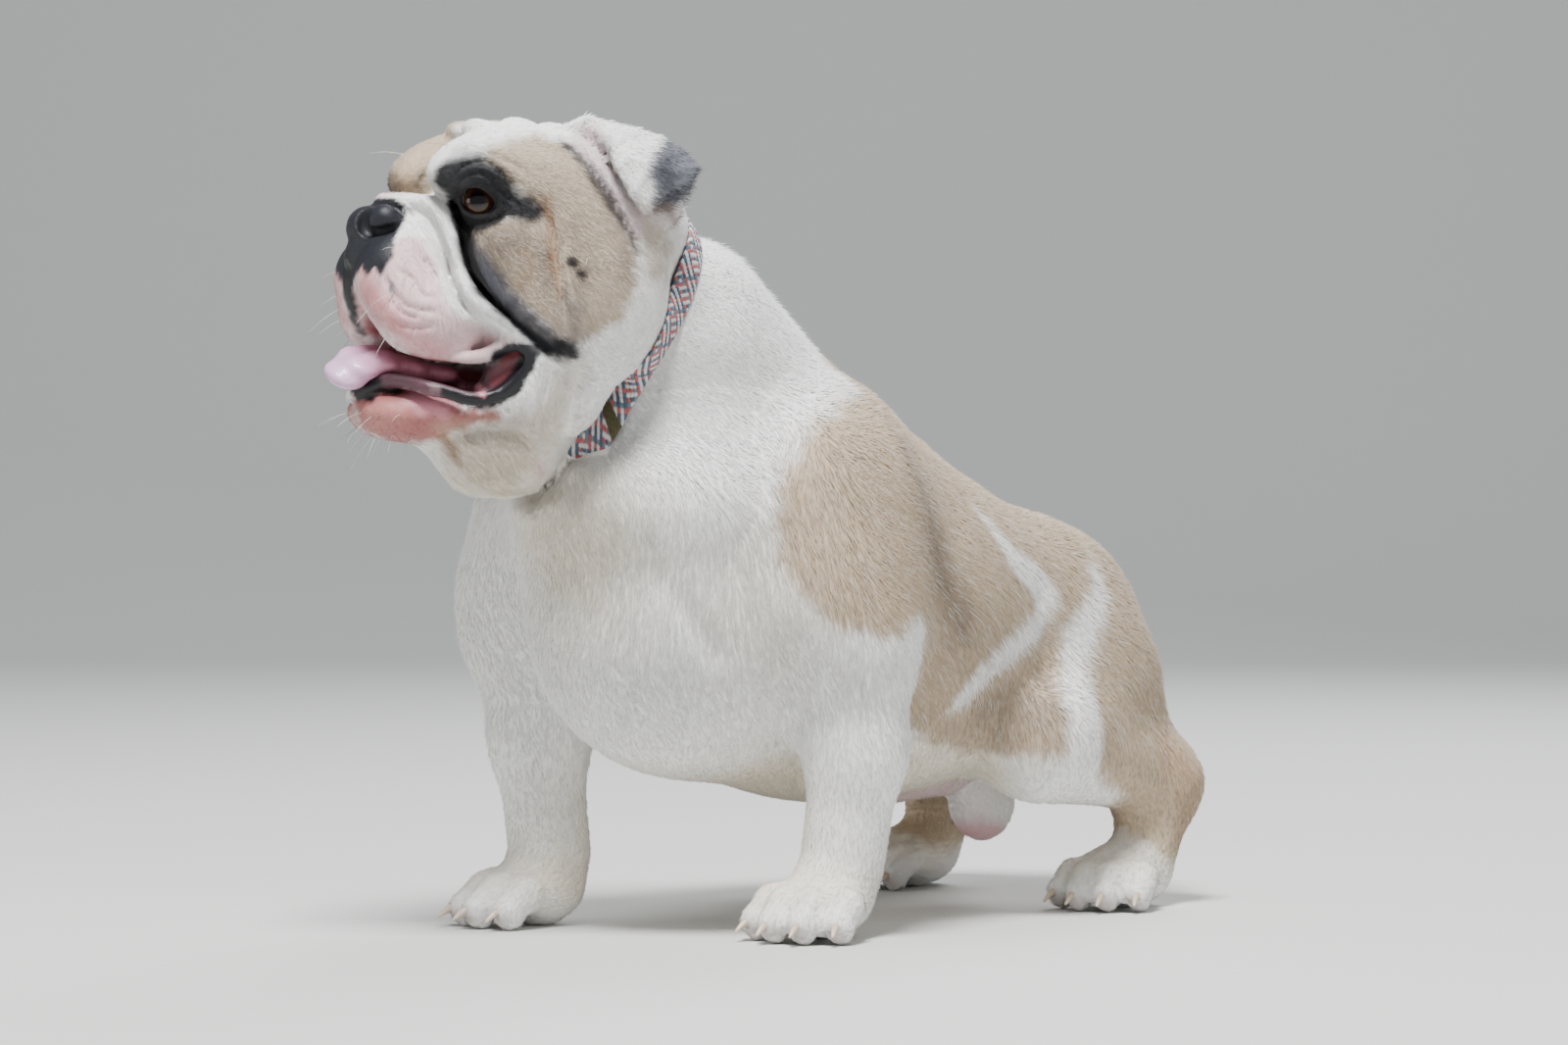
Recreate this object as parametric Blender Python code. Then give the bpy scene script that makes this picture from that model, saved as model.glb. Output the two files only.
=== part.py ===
"""English bulldog, life size, standing with its mouth open and its head turned to its right.

The whole dog is one smooth shape: soft unions of egg-shaped lobes and tapered limbs, with
folds pressed in along lines.  A grid that is fine at the face turns that shape into one
closed mesh, and thin cuts part it into head, jaw, nose, neck, body, legs, paws and tail.
Ears, eyes, tongue and collar are meshes of their own that meet it with a thin gap.
The dog faces -Y and stands on the plane Z = 0; its left side is +X.  Lengths are in metres.
"""
import math

import bmesh
import bpy
import numpy as np
from mathutils import Matrix, Vector

MM = 0.001
GAP = 0.0003
TINY = 1e-9
LEFT, RIGHT = 1, -1

# Driving sizes of the dog
CHEST_HALF_WIDTH = 0.146
RUMP_HALF_WIDTH = 0.094
HEAD_CENTRE = (-0.025, -0.270, 0.450)
HEAD_YAW = 22.0
HEAD_PITCH = 10.0
LEFT_FORE_FOOT = (0.110, -0.136)
RIGHT_FORE_FOOT = (-0.103, -0.200)
LEFT_HIND_FOOT = (0.112, 0.174)
RIGHT_HIND_FOOT = (-0.112, 0.198)
PAW_CUT_HEIGHT = 0.052
EYE_RADIUS = 15.0
LID_RADIUS = 17.2
EYE_TURN = 50.0
CHEEK_PLANE = 0.060
SIDE_SLOPE = (0.397, -0.108)
EAR_THICKNESS = 7.5
COLLAR_WIDTH = 19.0
COLLAR_THICKNESS = 4.0
COLLAR_MIDDLE = (-8, -72, -38)
COLLAR_NORMAL = (0, 0.94, 0.34)
COLLAR_SIDES = 40
COLLAR_PRESS = 2.5
COLLAR_CROWN = 0.8
COLLAR_REACH = 0.092
STEEP = 6
FOLD_ENDS = 5

# The grid that turns the shape into a mesh
FINE_CELL = 0.0026
CELL_GROWTH = 110.0
BODY_TRIANGLES = 7250
FIELD_CHUNK = 300000


def axes_of(turn):
    """Turn matrix for three angles in degrees about X, then Y, then Z."""
    a, b, c = (math.radians(v) for v in turn)
    rx = np.array([[1, 0, 0], [0, math.cos(a), -math.sin(a)], [0, math.sin(a), math.cos(a)]])
    ry = np.array([[math.cos(b), 0, math.sin(b)], [0, 1, 0], [-math.sin(b), 0, math.cos(b)]])
    rz = np.array([[math.cos(c), -math.sin(c), 0], [math.sin(c), math.cos(c), 0], [0, 0, 1]])
    return rz @ ry @ rx


class Ball:
    """Egg-shaped lobe: centre, three radii, softness of its join and its turn."""

    def __init__(self, centre, radii, blend, turn=(0, 0, 0)):
        self.middle = np.array(centre, float)
        self.radii = np.array(radii, float)
        self.blend = blend
        self.axes = axes_of(turn)
        self.reach = max(radii)

    def distance(self, points):
        """Nearly the distance to the egg, negative inside."""
        q = (points - self.middle) @ self.axes / self.radii
        k0 = np.sqrt((q * q).sum(-1)) + TINY
        q = q / self.radii
        k1 = np.sqrt((q * q).sum(-1)) + TINY
        return k0 * (k0 - 1.0) / k1


class Limb:
    """Tapered limb with round ends: two end points, two radii and softness of its join."""

    def __init__(self, start, end, radius_start, radius_end, blend):
        self.start = np.array(start, float)
        self.along = np.array(end, float) - self.start
        self.radii = (radius_start, radius_end)
        self.blend = blend
        self.middle = self.start + self.along / 2
        self.reach = float(np.linalg.norm(self.along)) / 2 + max(self.radii)

    def distance(self, points):
        """Distance to the tapered limb, negative inside."""
        q = points - self.start
        t = np.clip(q @ self.along / (self.along @ self.along), 0, 1)
        q = q - t[..., None] * self.along
        return np.sqrt((q * q).sum(-1)) - (self.radii[0] + (self.radii[1] - self.radii[0]) * t)


def smooth_line(points, steps):
    """Points along a smooth curve through the given rows."""
    p = np.array(points, float)
    p = np.vstack([2 * p[0] - p[1], p, 2 * p[-1] - p[-2]])
    out = []
    for i in range(1, len(p) - 2):
        for t in np.arange(steps) / steps:
            a = 2 * p[i] + (p[i + 1] - p[i - 1]) * t
            b = (2 * p[i - 1] - 5 * p[i] + 4 * p[i + 1] - p[i + 2]) * t * t
            c = (3 * p[i] - p[i - 1] - 3 * p[i + 1] + p[i + 2]) * t ** 3
            out.append((a + b + c) / 2)
    return np.array(out + [p[-2]])


class Rope:
    """Bent limb through several points, smooth along its length."""

    def __init__(self, points, radii, blend):
        line = smooth_line(np.column_stack([points, radii]), 4)
        self.points = line[:, :3]
        self.radii = line[:, 3]
        self.blend = blend
        self.middle = self.points.mean(0)
        spread = np.linalg.norm(self.points - self.middle, axis=1).max()
        self.reach = float(spread) + max(self.radii)

    def distance(self, points):
        """Distance to the nearest stretch, negative inside."""
        best = np.full(len(points), 9.0)
        for i in range(len(self.points) - 1):
            side = self.points[i + 1] - self.points[i]
            away = points - self.points[i]
            t = np.clip(away @ side / (side @ side), 0, 1)
            away = away - t[:, None] * side
            radius = self.radii[i] + (self.radii[i + 1] - self.radii[i]) * t
            best = np.minimum(best, np.sqrt((away * away).sum(-1)) - radius)
        return best


class Leaf:
    """Thin three-cornered sheet with rounded edges, for the ears."""

    def __init__(self, corners, thickness, blend):
        self.corners = np.array(corners, float)
        self.half = thickness / 2
        self.blend = blend
        self.middle = self.corners.mean(0)
        self.reach = float(np.linalg.norm(self.corners - self.middle, axis=1).max()) + thickness

    def distance(self, points):
        """Distance to the sheet less half its thickness."""
        a, b, c = self.corners
        normal = np.cross(b - a, c - a)
        inside = np.ones(len(points), bool)
        edge = np.full(len(points), 9.0)
        for p, q in ((a, b), (b, c), (c, a)):
            side = q - p
            away = points - p
            inside &= away @ np.cross(side, normal) <= 0
            t = np.clip(away @ side / (side @ side), 0, 1)
            away = away - t[:, None] * side
            edge = np.minimum(edge, (away * away).sum(-1))
        flat = ((points - a) @ normal) ** 2 / (normal @ normal)
        return np.sqrt(np.where(inside, flat, edge)) - self.half


class Fold:
    """Line pressed into the skin: points, width and depth, fading at both ends."""

    def __init__(self, points, width, depth, end=0.15):
        rows = np.array(points, float)
        self.points = smooth_line(rows, 4) if len(rows) > 2 else rows
        self.width = width
        self.depth = depth
        self.end = end
        self.middle = self.points.mean(0)
        spread = np.linalg.norm(self.points - self.middle, axis=1).max()
        self.reach = float(spread) + 3 * width

    def press(self, values, points):
        """Push the surface in by the depth, as a bell curve across the line."""
        away = points - self.middle
        near = (away * away).sum(-1) < self.reach ** 2
        if not near.any():
            return
        spot = points[near]
        best = np.full(len(spot), 9.0)
        place = np.zeros(len(spot))
        count = len(self.points) - 1
        for i in range(count):
            side = self.points[i + 1] - self.points[i]
            away = spot - self.points[i]
            t = np.clip(away @ side / (side @ side), 0, 1)
            away = away - t[:, None] * side
            gap = np.sqrt((away * away).sum(-1))
            place = np.where(gap < best, (i + t) / count, place)
            best = np.minimum(best, gap)
        fade = np.clip(np.minimum(place, 1 - place) * FOLD_ENDS + self.end, 0, 1)
        values[near] += self.depth * np.exp(-(best / self.width) ** 2) * fade


class SideFold(Fold):
    """Fold drawn on the side of the head, with points given as forward and up."""

    def __init__(self, points, width, depth, end=0.15):
        super().__init__(np.column_stack([np.zeros(len(points)), points]), width, depth, end)

    def press(self, values, points):
        """Press the fold in along the slanted side view, slid to the plane of the cheek."""
        flat = points[:, 1:] - (np.abs(points[:, :1]) - CHEEK_PLANE) * np.array(SIDE_SLOPE)
        super().press(values, np.column_stack([np.zeros(len(flat)), flat]))


def soft_min(a, b, width):
    """Lesser of two values with a rounded join of the given width."""
    h = np.clip(0.5 + 0.5 * (b - a) / width, 0, 1)
    return b * (1 - h) + a * h - width * h * (1 - h)


def near_lobe(lobe, points, margin=0.05):
    """Mask of the points close enough to a lobe to feel it."""
    away = points - lobe.middle
    return (away * away).sum(-1) < (lobe.reach + margin) ** 2


def grow(values, lobes, points):
    """Join lobes to the shape."""
    for lobe in lobes:
        near = near_lobe(lobe, points)
        if near.any():
            values[near] = soft_min(values[near], lobe.distance(points[near]), lobe.blend)


def hollow(values, lobes, points):
    """Take lobes out of the shape."""
    for lobe in lobes:
        near = near_lobe(lobe, points)
        if near.any():
            values[near] = -soft_min(-values[near], lobe.distance(points[near]), lobe.blend)


def ball_mm(centre, radii, blend, turn=(0, 0, 0)):
    """Egg-shaped lobe given in millimetres."""
    return Ball(np.array(centre) * MM, np.array(radii) * MM, blend * MM, turn)


def rope_mm(points, radii, blend):
    """Rope through points given in millimetres."""
    return Rope(np.array(points) * MM, np.array(radii) * MM, blend * MM)


def fold_mm(points, width, depth, end=0.15):
    """Fold given in millimetres, drawn on the side of the head where its points are forward and up."""
    kind = SideFold if len(points[0]) == 2 else Fold
    return kind(np.array(points) * MM, width * MM, depth * MM, end)


def trunk():
    """Deep chest, lower loin, rump and the thick neck rising to the head."""
    wide = CHEST_HALF_WIDTH
    return [
        Ball((0, -0.030, 0.214), (wide, 0.180, 0.134), 0.03, (-10, 0, 0)),
        Ball((0, -0.165, 0.220), (0.105, 0.100, 0.115), 0.05),
        Ball((0, -0.175, 0.285), (0.100, 0.070, 0.075), 0.05),
        Ball((0, -0.205, 0.290), (0.096, 0.070, 0.054), 0.03),
        Ball((0, 0.088, 0.196), (0.118, 0.150, 0.096), 0.05, (-8, 0, 0)),
        Ball((0, 0.156, 0.192), (RUMP_HALF_WIDTH, 0.090, 0.080), 0.04),
        Limb((0, -0.055, 0.280), (-0.008, -0.165, 0.390), 0.093, 0.082, 0.045),
    ]


def foreleg(side, foot, elbow):
    """Shoulder, upper arm, point of the elbow and the straight thick forearm."""
    ex, ey, ez = elbow
    fx, fy = foot
    mid = ((ex + fx) / 2 + side * 0.004, (ey + fy) / 2, 0.125)
    return [
        Ball((side * 0.076, ey + 0.024, 0.300), (0.047, 0.060, 0.070), 0.04),
        Ball((side * 0.106, ey + 0.002, 0.266), (0.050, 0.070, 0.083), 0.03),
        Ball((ex - side * 0.004, ey - 0.012, 0.222), (0.042, 0.054, 0.052), 0.03),
        Ball((ex + side * 0.012, ey + 0.030, 0.200), (0.015, 0.019, 0.016), 0.014),
        Limb((ex, ey - 0.008, ez), mid, 0.040, 0.033, 0.03),
        Limb(mid, (fx, fy, 0.050), 0.0325, 0.029, 0.02),
    ]


def hind_leg(side, knee, hock, foot):
    """Rounded thigh, stifle, lower leg to the hock and the upright metatarsus."""
    return [
        Ball((side * 0.062, 0.150, 0.182), (0.050, 0.082, 0.080), 0.05),
        Ball((side * 0.084, 0.140, 0.150), (0.040, 0.072, 0.062), 0.04, (15, 0, 0)),
        Limb((side * 0.085, 0.195, 0.150), hock, 0.036, 0.025, 0.03),
        Limb((side * 0.078, 0.155, 0.160), knee, 0.055, 0.040, 0.03),
        Limb(knee, hock, 0.041, 0.026, 0.025),
        Limb(hock, (foot[0], foot[1], 0.028), 0.0265, 0.024, 0.02),
    ]


class Paw:
    """Paw with four splayed toes, pads below and a claw on each toe."""

    def __init__(self, side, centre, heading, scale=1.0):
        self.side = side
        self.scale = scale
        self.centre = np.array([centre[0], centre[1], 0.0])
        turn = math.radians(heading)
        self.ahead = np.array([side * math.sin(turn), -math.cos(turn), 0.0])
        self.across = np.array([math.cos(turn), side * math.sin(turn), 0.0])
        self.toes = [(-0.028, 0.015, -16), (-0.010, 0.028, -5), (0.010, 0.028, 5), (0.028, 0.015, 16)]

    def toe(self, offset, forward, angle):
        """Root, knuckle, tip and direction of one toe."""
        k = self.scale
        turn = math.radians(angle)
        way = self.ahead * math.cos(turn) + self.across * math.sin(turn)
        up = np.array([0, 0, 1.0])
        root = self.centre + k * (self.across * offset * 0.75 + self.ahead * 0.004 + up * 0.027)
        knuckle = self.centre + k * (self.across * offset + self.ahead * forward + way * 0.004 + up * 0.0255)
        tip = knuckle + k * (way * 0.0165 - up * 0.0115)
        return root, knuckle, tip, way

    def lobes(self):
        """Palm, toes and pads as lobes."""
        k = self.scale
        level = math.degrees(math.atan2(self.across[1], self.across[0]))
        palm = self.centre - self.ahead * 0.004 * k + np.array([0, 0, 0.026 * k])
        out = [Ball(palm, (0.033 * k, 0.035 * k, 0.026 * k), 0.015, (0, 0, level))]
        heel = self.centre - self.ahead * 0.006 * k + np.array([0, 0, 0.008])
        out.append(Ball(heel, (0.017 * k, 0.015 * k, 0.0105), 0.006, (0, 0, level)))
        for spec in self.toes:
            root, knuckle, tip, way = self.toe(*spec)
            out.append(Limb(root, knuckle, 0.0130 * k, 0.0140 * k, 0.008))
            out.append(Limb(knuckle, tip, 0.0138 * k, 0.0124 * k, 0.005))
            pad = np.array([tip[0], tip[1], 0.008]) - way * 0.003 * k
            out.append(Ball(pad, (0.0090 * k, 0.0105 * k, 0.0100), 0.004, (0, 0, level)))
        return out

    def claws(self):
        """Start and end point of each claw."""
        out = []
        for spec in self.toes:
            tip, way = self.toe(*spec)[2:]
            start = tip + way * 0.004 * self.scale + np.array([0, 0, 0.0015])
            out.append((start, start + way * 0.0155 * self.scale - np.array([0, 0, 0.0075])))
        return out


PAWS = {
    "forepaw_left": Paw(LEFT, LEFT_FORE_FOOT, 12, 0.95),
    "forepaw_right": Paw(RIGHT, RIGHT_FORE_FOOT, 20, 0.95),
    "hindpaw_left": Paw(LEFT, LEFT_HIND_FOOT, 14, 0.90),
    "hindpaw_right": Paw(RIGHT, RIGHT_HIND_FOOT, 14, 0.90),
}


def tail():
    """Short thick tail bent down."""
    return [
        Ball((0, 0.242, 0.226), (0.024, 0.024, 0.022), 0.02),
        Limb((0.002, 0.256, 0.226), (0.008, 0.270, 0.204), 0.0175, 0.012, 0.012),
    ]


def sheath():
    """Sheath under the belly, running back between the thighs."""
    return [Limb((0.004, 0.020, 0.094), (0.004, 0.105, 0.098), 0.017, 0.021, 0.02)]


BODY_LOBES = (
    trunk()
    + foreleg(LEFT, (0.111, -0.118), (0.124, -0.112, 0.19))
    + foreleg(RIGHT, (-0.104, -0.182), (-0.126, -0.174, 0.19))
    + hind_leg(LEFT, (0.116, 0.084, 0.125), (0.112, 0.221, 0.088), (0.112, 0.200))
    + hind_leg(RIGHT, (-0.113, 0.108, 0.120), (-0.108, 0.246, 0.088), (-0.112, 0.225))
    + tail()
    + sheath()
    + [lobe for paw in PAWS.values() for lobe in paw.lobes()]
)


def skull():
    """Domed skull, heavy brows, forehead bumps, temples, wide cheeks and the broad short upper jaw."""
    return [
        ball_mm((0, -15, 30), (76, 85, 62), 20),
        ball_mm((20, 34, 56), (32, 38, 32), 18),
        ball_mm((36, 58, 53), (32, 45, 26), 14, (-22, 0, 0)),
        ball_mm((45, 62, 46), (25, 23, 12), 9),
        ball_mm((14, 62, 78), (14, 12, 8), 6),
        ball_mm((16, 38, 84), (17, 11, 7), 6),
        ball_mm((20, 12, 86), (17, 12, 7), 6),
        ball_mm((60, 10, 42), (30, 48, 36), 25),
        ball_mm((59, -8, -22), (43, 62, 62), 30),
        ball_mm((49, 41, 0), (31, 24, 25), 20),
        ball_mm((0, 78, -10), (42, 44, 42), 12),
    ]


def muzzle():
    """Roll over the nose and down the cheek, the ridge behind it, hanging flews, nose pad and wings."""
    roll = [(0, 114, 19), (14, 107, 20), (24, 94, 22), (32, 86, 14), (41, 79, -1), (50, 74, -17),
            (57, 65, -31), (64, 55, -41), (70, 44, -47)]
    ridge = [(50, 64, 8), (56, 57, -8), (63, 49, -21), (70, 38, -32), (77, 25, -42), (84, 12, -51),
             (88, 0, -57)]
    return [
        rope_mm(roll, [8, 8.5, 7.5, 8.5, 9, 9.5, 9.5, 9, 7], 6),
        rope_mm(ridge, [5, 6, 7, 7.5, 8, 8, 7], 6),
        ball_mm((20, 98, -28), (28, 35, 33), 12),
        ball_mm((33, 80, -50), (28, 41, 30), 12),
        ball_mm((0, 108, -12), (24, 22, 25), 8),
        ball_mm((0, 121, 2), (24, 16, 16), 5),
        ball_mm((17, 117, 8), (11, 12, 11), 3),
        ball_mm((0, 127, -18), (13, 9, 13), 5),
    ]


def lips():
    """Rims of the hanging upper lip and of the lower lip that loops up at the corner."""
    upper = [(5, 125, -32), (13, 118, -45), (23, 107, -58), (33, 91, -68), (42, 76, -75), (49, 62, -75),
             (56, 50, -71), (62, 42, -64), (68, 35, -57), (73, 27, -55)]
    lower = [(0, 114, -107), (14, 106, -101), (24, 99, -96), (36, 87, -96), (46, 79, -98), (52, 68, -98),
             (58, 57, -100), (62, 46, -98), (66, 36, -92), (69, 29, -83), (71, 27, -73), (71, 28, -64)]
    return [rope_mm(upper, [5.5] * 8 + [5.5, 5], 5), rope_mm(lower, [6] * 10 + [5.5, 5], 4)]


def lower_jaw():
    """Undershot lower jaw and its chin."""
    return [
        ball_mm((0, 50, -112), (50, 52, 22), 12),
        ball_mm((0, 87, -117), (38, 27, 17), 8),
        ball_mm((48, 2, -85), (32, 42, 36), 22),
    ]


def throat():
    """Dewlap: a full throat with hanging folds."""
    return [
        ball_mm((0, 2, -118), (46, 52, 40), 18),
        rope_mm([(30, 34, -118), (20, 10, -146), (14, -14, -146)], [20, 17, 14], 10),
        rope_mm([(0, 42, -126), (2, 24, -143), (0, -8, -148)], [13, 14, 14], 12),
    ]


def mouth_hollow():
    """Open mouth: the cavity, the side gap between the lips, the pouch at its corner and the front arch."""
    gap = [(20, 98, -85), (34, 82, -86), (46, 69, -87), (54, 56, -87), (61, 45, -84), (66, 38, -77),
           (70, 31, -71)]
    return [
        rope_mm([(0, 40, -82), (0, 76, -80), (0, 112, -84)], [21, 16, 12], 8),
        rope_mm(gap, [5, 6, 7.5, 8.5, 8, 6.5, 4.5], 3),
        rope_mm([(0, 100, -62), (1, 116, -68), (1, 120, -84)], [8, 13, 15], 5),
    ]


def nostril_hollow():
    """Comma-shaped nostril: open ahead, with a slit that curls back under the wing."""
    line = [(13, 131, 12), (12, 131, 6), (13, 128, 0), (18, 123, -2), (24, 116, 1), (28, 110, 6)]
    return [rope_mm(line, [2.5, 4, 4.5, 3.2, 2.4, 1.5], 2)]


EYE_MIDDLE = np.array([40.0, 60.5, 29.0])


def eye_point(azimuth, height, radius):
    """Point on a ball round the eye; azimuth in degrees from straight ahead to the side."""
    a = math.radians(azimuth)
    e = math.radians(height)
    way = np.array([math.sin(a) * math.cos(e), math.cos(a) * math.cos(e), math.sin(e)])
    return EYE_MIDDLE + radius * way


def eyelids():
    """Upper and lower lid rims round the almond opening."""
    upper = [(-10, 0), (-3, 18), (14, 36), (48, 40), (79, 24), (102, 0)]
    lower = [(-10, -4), (19, -30), (56, -41), (87, -28), (102, -4)]
    return [
        rope_mm([eye_point(a, e, LID_RADIUS) for a, e in rim], [width] * len(rim), 2.5)
        for rim, width in ((upper, 3.0), (lower, 2.6))
    ]


def eye_opening():
    """Almond opening between the lids."""
    return [ball_mm(eye_point(EYE_TURN, 2, LID_RADIUS), (15.0, 10, 10.2), 2, (0, 0, -EYE_TURN))]


def face_folds():
    """Deep fold under the eye, cheek and ear creases, lip cleft, forehead furrow and brow folds."""
    crease = [(90, 25), (85, 13), (80, 3), (75, -11), (69, -21), (61, -29), (53, -34), (42, -40), (30, -46),
              (19, -52), (7, -59), (-2, -63)]
    return [
        fold_mm(crease, 4.2, 6.5, 0.5),
        fold_mm([(119, 20), (101, 2), (90, -13), (80, -30), (71, -41), (64, -46)], 3.0, 3.4, 0.1),
        fold_mm([(111, 19), (97, 3), (86, -12), (76, -26)], 2.6, 2.6, 0.1),
        fold_mm([(26, 34), (18, 15), (12, -4), (4, -22), (-2, -42)], 3, 3, 0.1),
        fold_mm([(10, 20), (4, -4), (-4, -26)], 3, 2, 0.1),
        fold_mm([(22, 76), (8, 69), (-4, 58), (-17, 46), (-31, 31), (-46, 13)], 4.5, 4, 0.1),
        fold_mm([(5, -66), (5, -84), (6, -100), (8, -118)], 3.2, 3.5, 0.2),
        fold_mm([(-15, -62), (-14, -90), (-12, -120)], 5, 3.5, 0.1),
        fold_mm([(80, -130), (60, -124), (40, -118), (18, -118), (2, -128)], 5, 3, 0.1),
        fold_mm([(62, -128), (52, -140), (36, -152)], 4, 2.5, 0.1),
        fold_mm([(0, 132, -24), (0, 130, -42)], 3, 4, 0.5),
        fold_mm([(0, 40, 98), (0, 78, 88), (0, 98, 62), (0, 106, 40)], 8, 5, 0.3),
        fold_mm([(0, 128, 19), (14, 118, 18), (26, 108, 12)], 2.6, 3, 0.2),
        fold_mm([(0, 104, 32), (16, 100, 34), (32, 92, 30), (44, 84, 24)], 5, 4, 0.3),
    ]


HEAD_LOBES = skull() + lower_jaw() + throat() + muzzle() + lips()
FACE_FOLDS = face_folds()
LID_MOUND = [ball_mm(EYE_MIDDLE, (EYE_RADIUS + 2.8,) * 3, 6)]
EYE_OPENING = eye_opening()
LID_RIMS = eyelids()
HOLLOWS = mouth_hollow() + nostril_hollow()
THROAT_CREASE = fold_mm([(58, -166), (44, -168), (27, -168), (9, -162), (-4, -154), (-12, -144), (-17, -131),
                         (-26, -120), (-36, -112)], 7, 10, 0.3)


def head_axes():
    """Rows: the head's left, forward and up directions in the dog's frame."""
    yaw = math.radians(HEAD_YAW)
    pitch = math.radians(HEAD_PITCH)
    level = np.array([-math.sin(yaw), -math.cos(yaw), 0])
    up = np.array([0, 0, 1.0])
    left = np.array([math.cos(yaw), -math.sin(yaw), 0])
    return np.stack([
        left,
        level * math.cos(pitch) + up * math.sin(pitch),
        -level * math.sin(pitch) + up * math.cos(pitch),
    ])


HEAD_AXES = head_axes()


def from_head(point_mm):
    """Place in the dog's frame of a head point (left, forward, up) in millimetres."""
    return np.array(HEAD_CENTRE) + (np.array(point_mm, float) * MM) @ HEAD_AXES


def head_shape(points):
    """Shape of the head in its own frame, the same on both sides."""
    p = points.copy()
    p[:, 0] = np.sqrt(p[:, 0] ** 2 + MM ** 2)
    values = np.full(len(p), 1.0)
    grow(values, HEAD_LOBES, p)
    for fold in FACE_FOLDS:
        fold.press(values, p)
    grow(values, LID_MOUND, p)
    hollow(values, EYE_OPENING, p)
    grow(values, LID_RIMS, p)
    hollow(values, HOLLOWS, p)
    return values


def dog_shape(points):
    """Shape of the whole dog: negative inside, zero on its surface."""
    values = np.full(len(points), 1.0)
    grow(values, BODY_LOBES, points)
    away = points - np.array(HEAD_CENTRE)
    near = (away * away).sum(-1) < 0.25 ** 2
    spot = away[near] @ HEAD_AXES.T
    joined = soft_min(values[near], head_shape(spot), 0.018)
    spot[:, 0] = np.abs(spot[:, 0])
    THROAT_CREASE.press(joined, spot)
    values[near] = joined
    return values


def ear_lobes():
    """Rose ear of the left side: the cup's front and back walls, and the flap folded over from the top line.

    Each wall is a strip of thin sheets between two rows of points, in head millimetres.
    """
    fold = [(48, 16, 86), (60, 6, 94), (67, -8, 92), (70, -24, 92), (72, -40, 90), (74, -56, 85), (78, -67, 76)]
    brim = [(66, 2, 84), (74, 0, 82), (84, -3, 78), (90, -12, 70), (90, -30, 70), (86, -46, 70), (82, -64, 70)]
    edge = [(70, 0, 80), (80, -3, 77), (91, -8, 64), (96, -18, 50), (95, -30, 39), (90, -44, 53), (83, -62, 66)]
    root = [(50, 14, 66), (56, 6, 62), (64, -4, 54), (70, -17, 42), (75, -30, 31), (76, -48, 26), (74, -62, 42)]
    rear = [(46, 6, 74), (56, -8, 80), (60, -22, 80), (62, -36, 76), (62, -48, 70), (64, -58, 62), (72, -66, 58)]
    sheets = []
    for first, second in ((fold, brim), (brim, edge), (fold, root), (fold, rear)):
        for i in range(len(first) - 1):
            sheets.append((first[i], first[i + 1], second[i]))
            sheets.append((first[i + 1], second[i + 1], second[i]))
    return [Leaf(np.array(s) * MM, EAR_THICKNESS * MM, 1.5 * MM) for s in sheets]


EAR_LOBES = ear_lobes()


def ear_shape(points):
    """Shape of the left ear in the head's own frame."""
    values = np.full(len(points), 1.0)
    grow(values, EAR_LOBES, points)
    return values


def tongue_lobes():
    """Broad flat tongue that lies in the lower jaw, hangs over the front lip and rolls to its left."""
    path = [(0, 34, -97), (0, 58, -91), (0, 80, -86), (2, 100, -82), (7, 116, -87), (11, 126, -97)]
    half = [17, 22, 23, 22, 20, 15]
    thick = [7, 8, 8.5, 8.5, 8, 7]
    roll = [0, 0, 4, 14, 24, 32]
    return [
        ball_mm(path[i], (half[i], 14, thick[i]), 8, (0, roll[i], 0)) for i in range(len(path))
    ]


TONGUE_LOBES = tongue_lobes()


def tongue_shape(points):
    """Shape of the tongue in the head's own frame, with a furrow along its middle."""
    values = np.full(len(points), 1.0)
    grow(values, TONGUE_LOBES, points)
    fold_mm([(0, 40, -87), (1, 84, -76), (4, 106, -73), (10, 128, -86)], 5, 3, 0.2).press(values, points)
    return values


class Grid:
    """Grid whose cells grow away from a centre: place = centre + u * cell * (1 + |u| / growth)."""

    def __init__(self, centre, cell, growth):
        self.centre = np.array(centre, float)
        self.cell = cell
        self.growth = growth

    def place(self, u):
        """Points for grid coordinates."""
        r = np.sqrt((u * u).sum(-1))
        return self.centre + u * (self.cell * (1 + r / self.growth))[..., None]

    def steps(self, length):
        """Grid steps that reach a length along an axis."""
        g = self.growth
        return (math.sqrt(1 + 4 * abs(length) / (self.cell * g)) - 1) * g / 2 * math.copysign(1, length)

    def size(self, u):
        """Largest cell size at grid coordinates."""
        return self.cell * (1 + 2 * np.sqrt((u * u).sum(-1)) / self.growth)


def sample(shape, grid, u):
    """Shape values at grid coordinates, a chunk at a time."""
    parts = [shape(grid.place(u[i:i + FIELD_CHUNK])) for i in range(0, len(u), FIELD_CHUNK)]
    return np.concatenate(parts)


def grid_values(shape, grid, low, high, coarse=3):
    """Shape values on the grid: everywhere coarsely, and finely near the surface."""
    centre = grid.centre
    start = np.array([math.floor(grid.steps(low[i] - centre[i])) for i in range(3)])
    stop = np.array([math.ceil(grid.steps(high[i] - centre[i])) for i in range(3)])
    count = ((stop - start) // coarse + 1) * coarse + 1
    marks = [start[i] + np.arange(0, count[i], coarse) for i in range(3)]
    u = np.stack(np.meshgrid(*marks, indexing="ij"), -1).reshape(-1, 3).astype(float)
    values = sample(shape, grid, u).reshape([len(m) for m in marks])
    sizes = grid.size(u).reshape(values.shape)
    for axis in range(3):
        pick = np.clip((np.arange(count[axis]) + coarse // 2) // coarse, 0, values.shape[axis] - 1)
        values = np.take(values, pick, axis=axis)
        sizes = np.take(sizes, pick, axis=axis)
    spots = np.argwhere(np.abs(values) < sizes * coarse * 1.9)
    values[tuple(spots.T)] = sample(shape, grid, (spots + start).astype(float))
    return values, start


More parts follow.
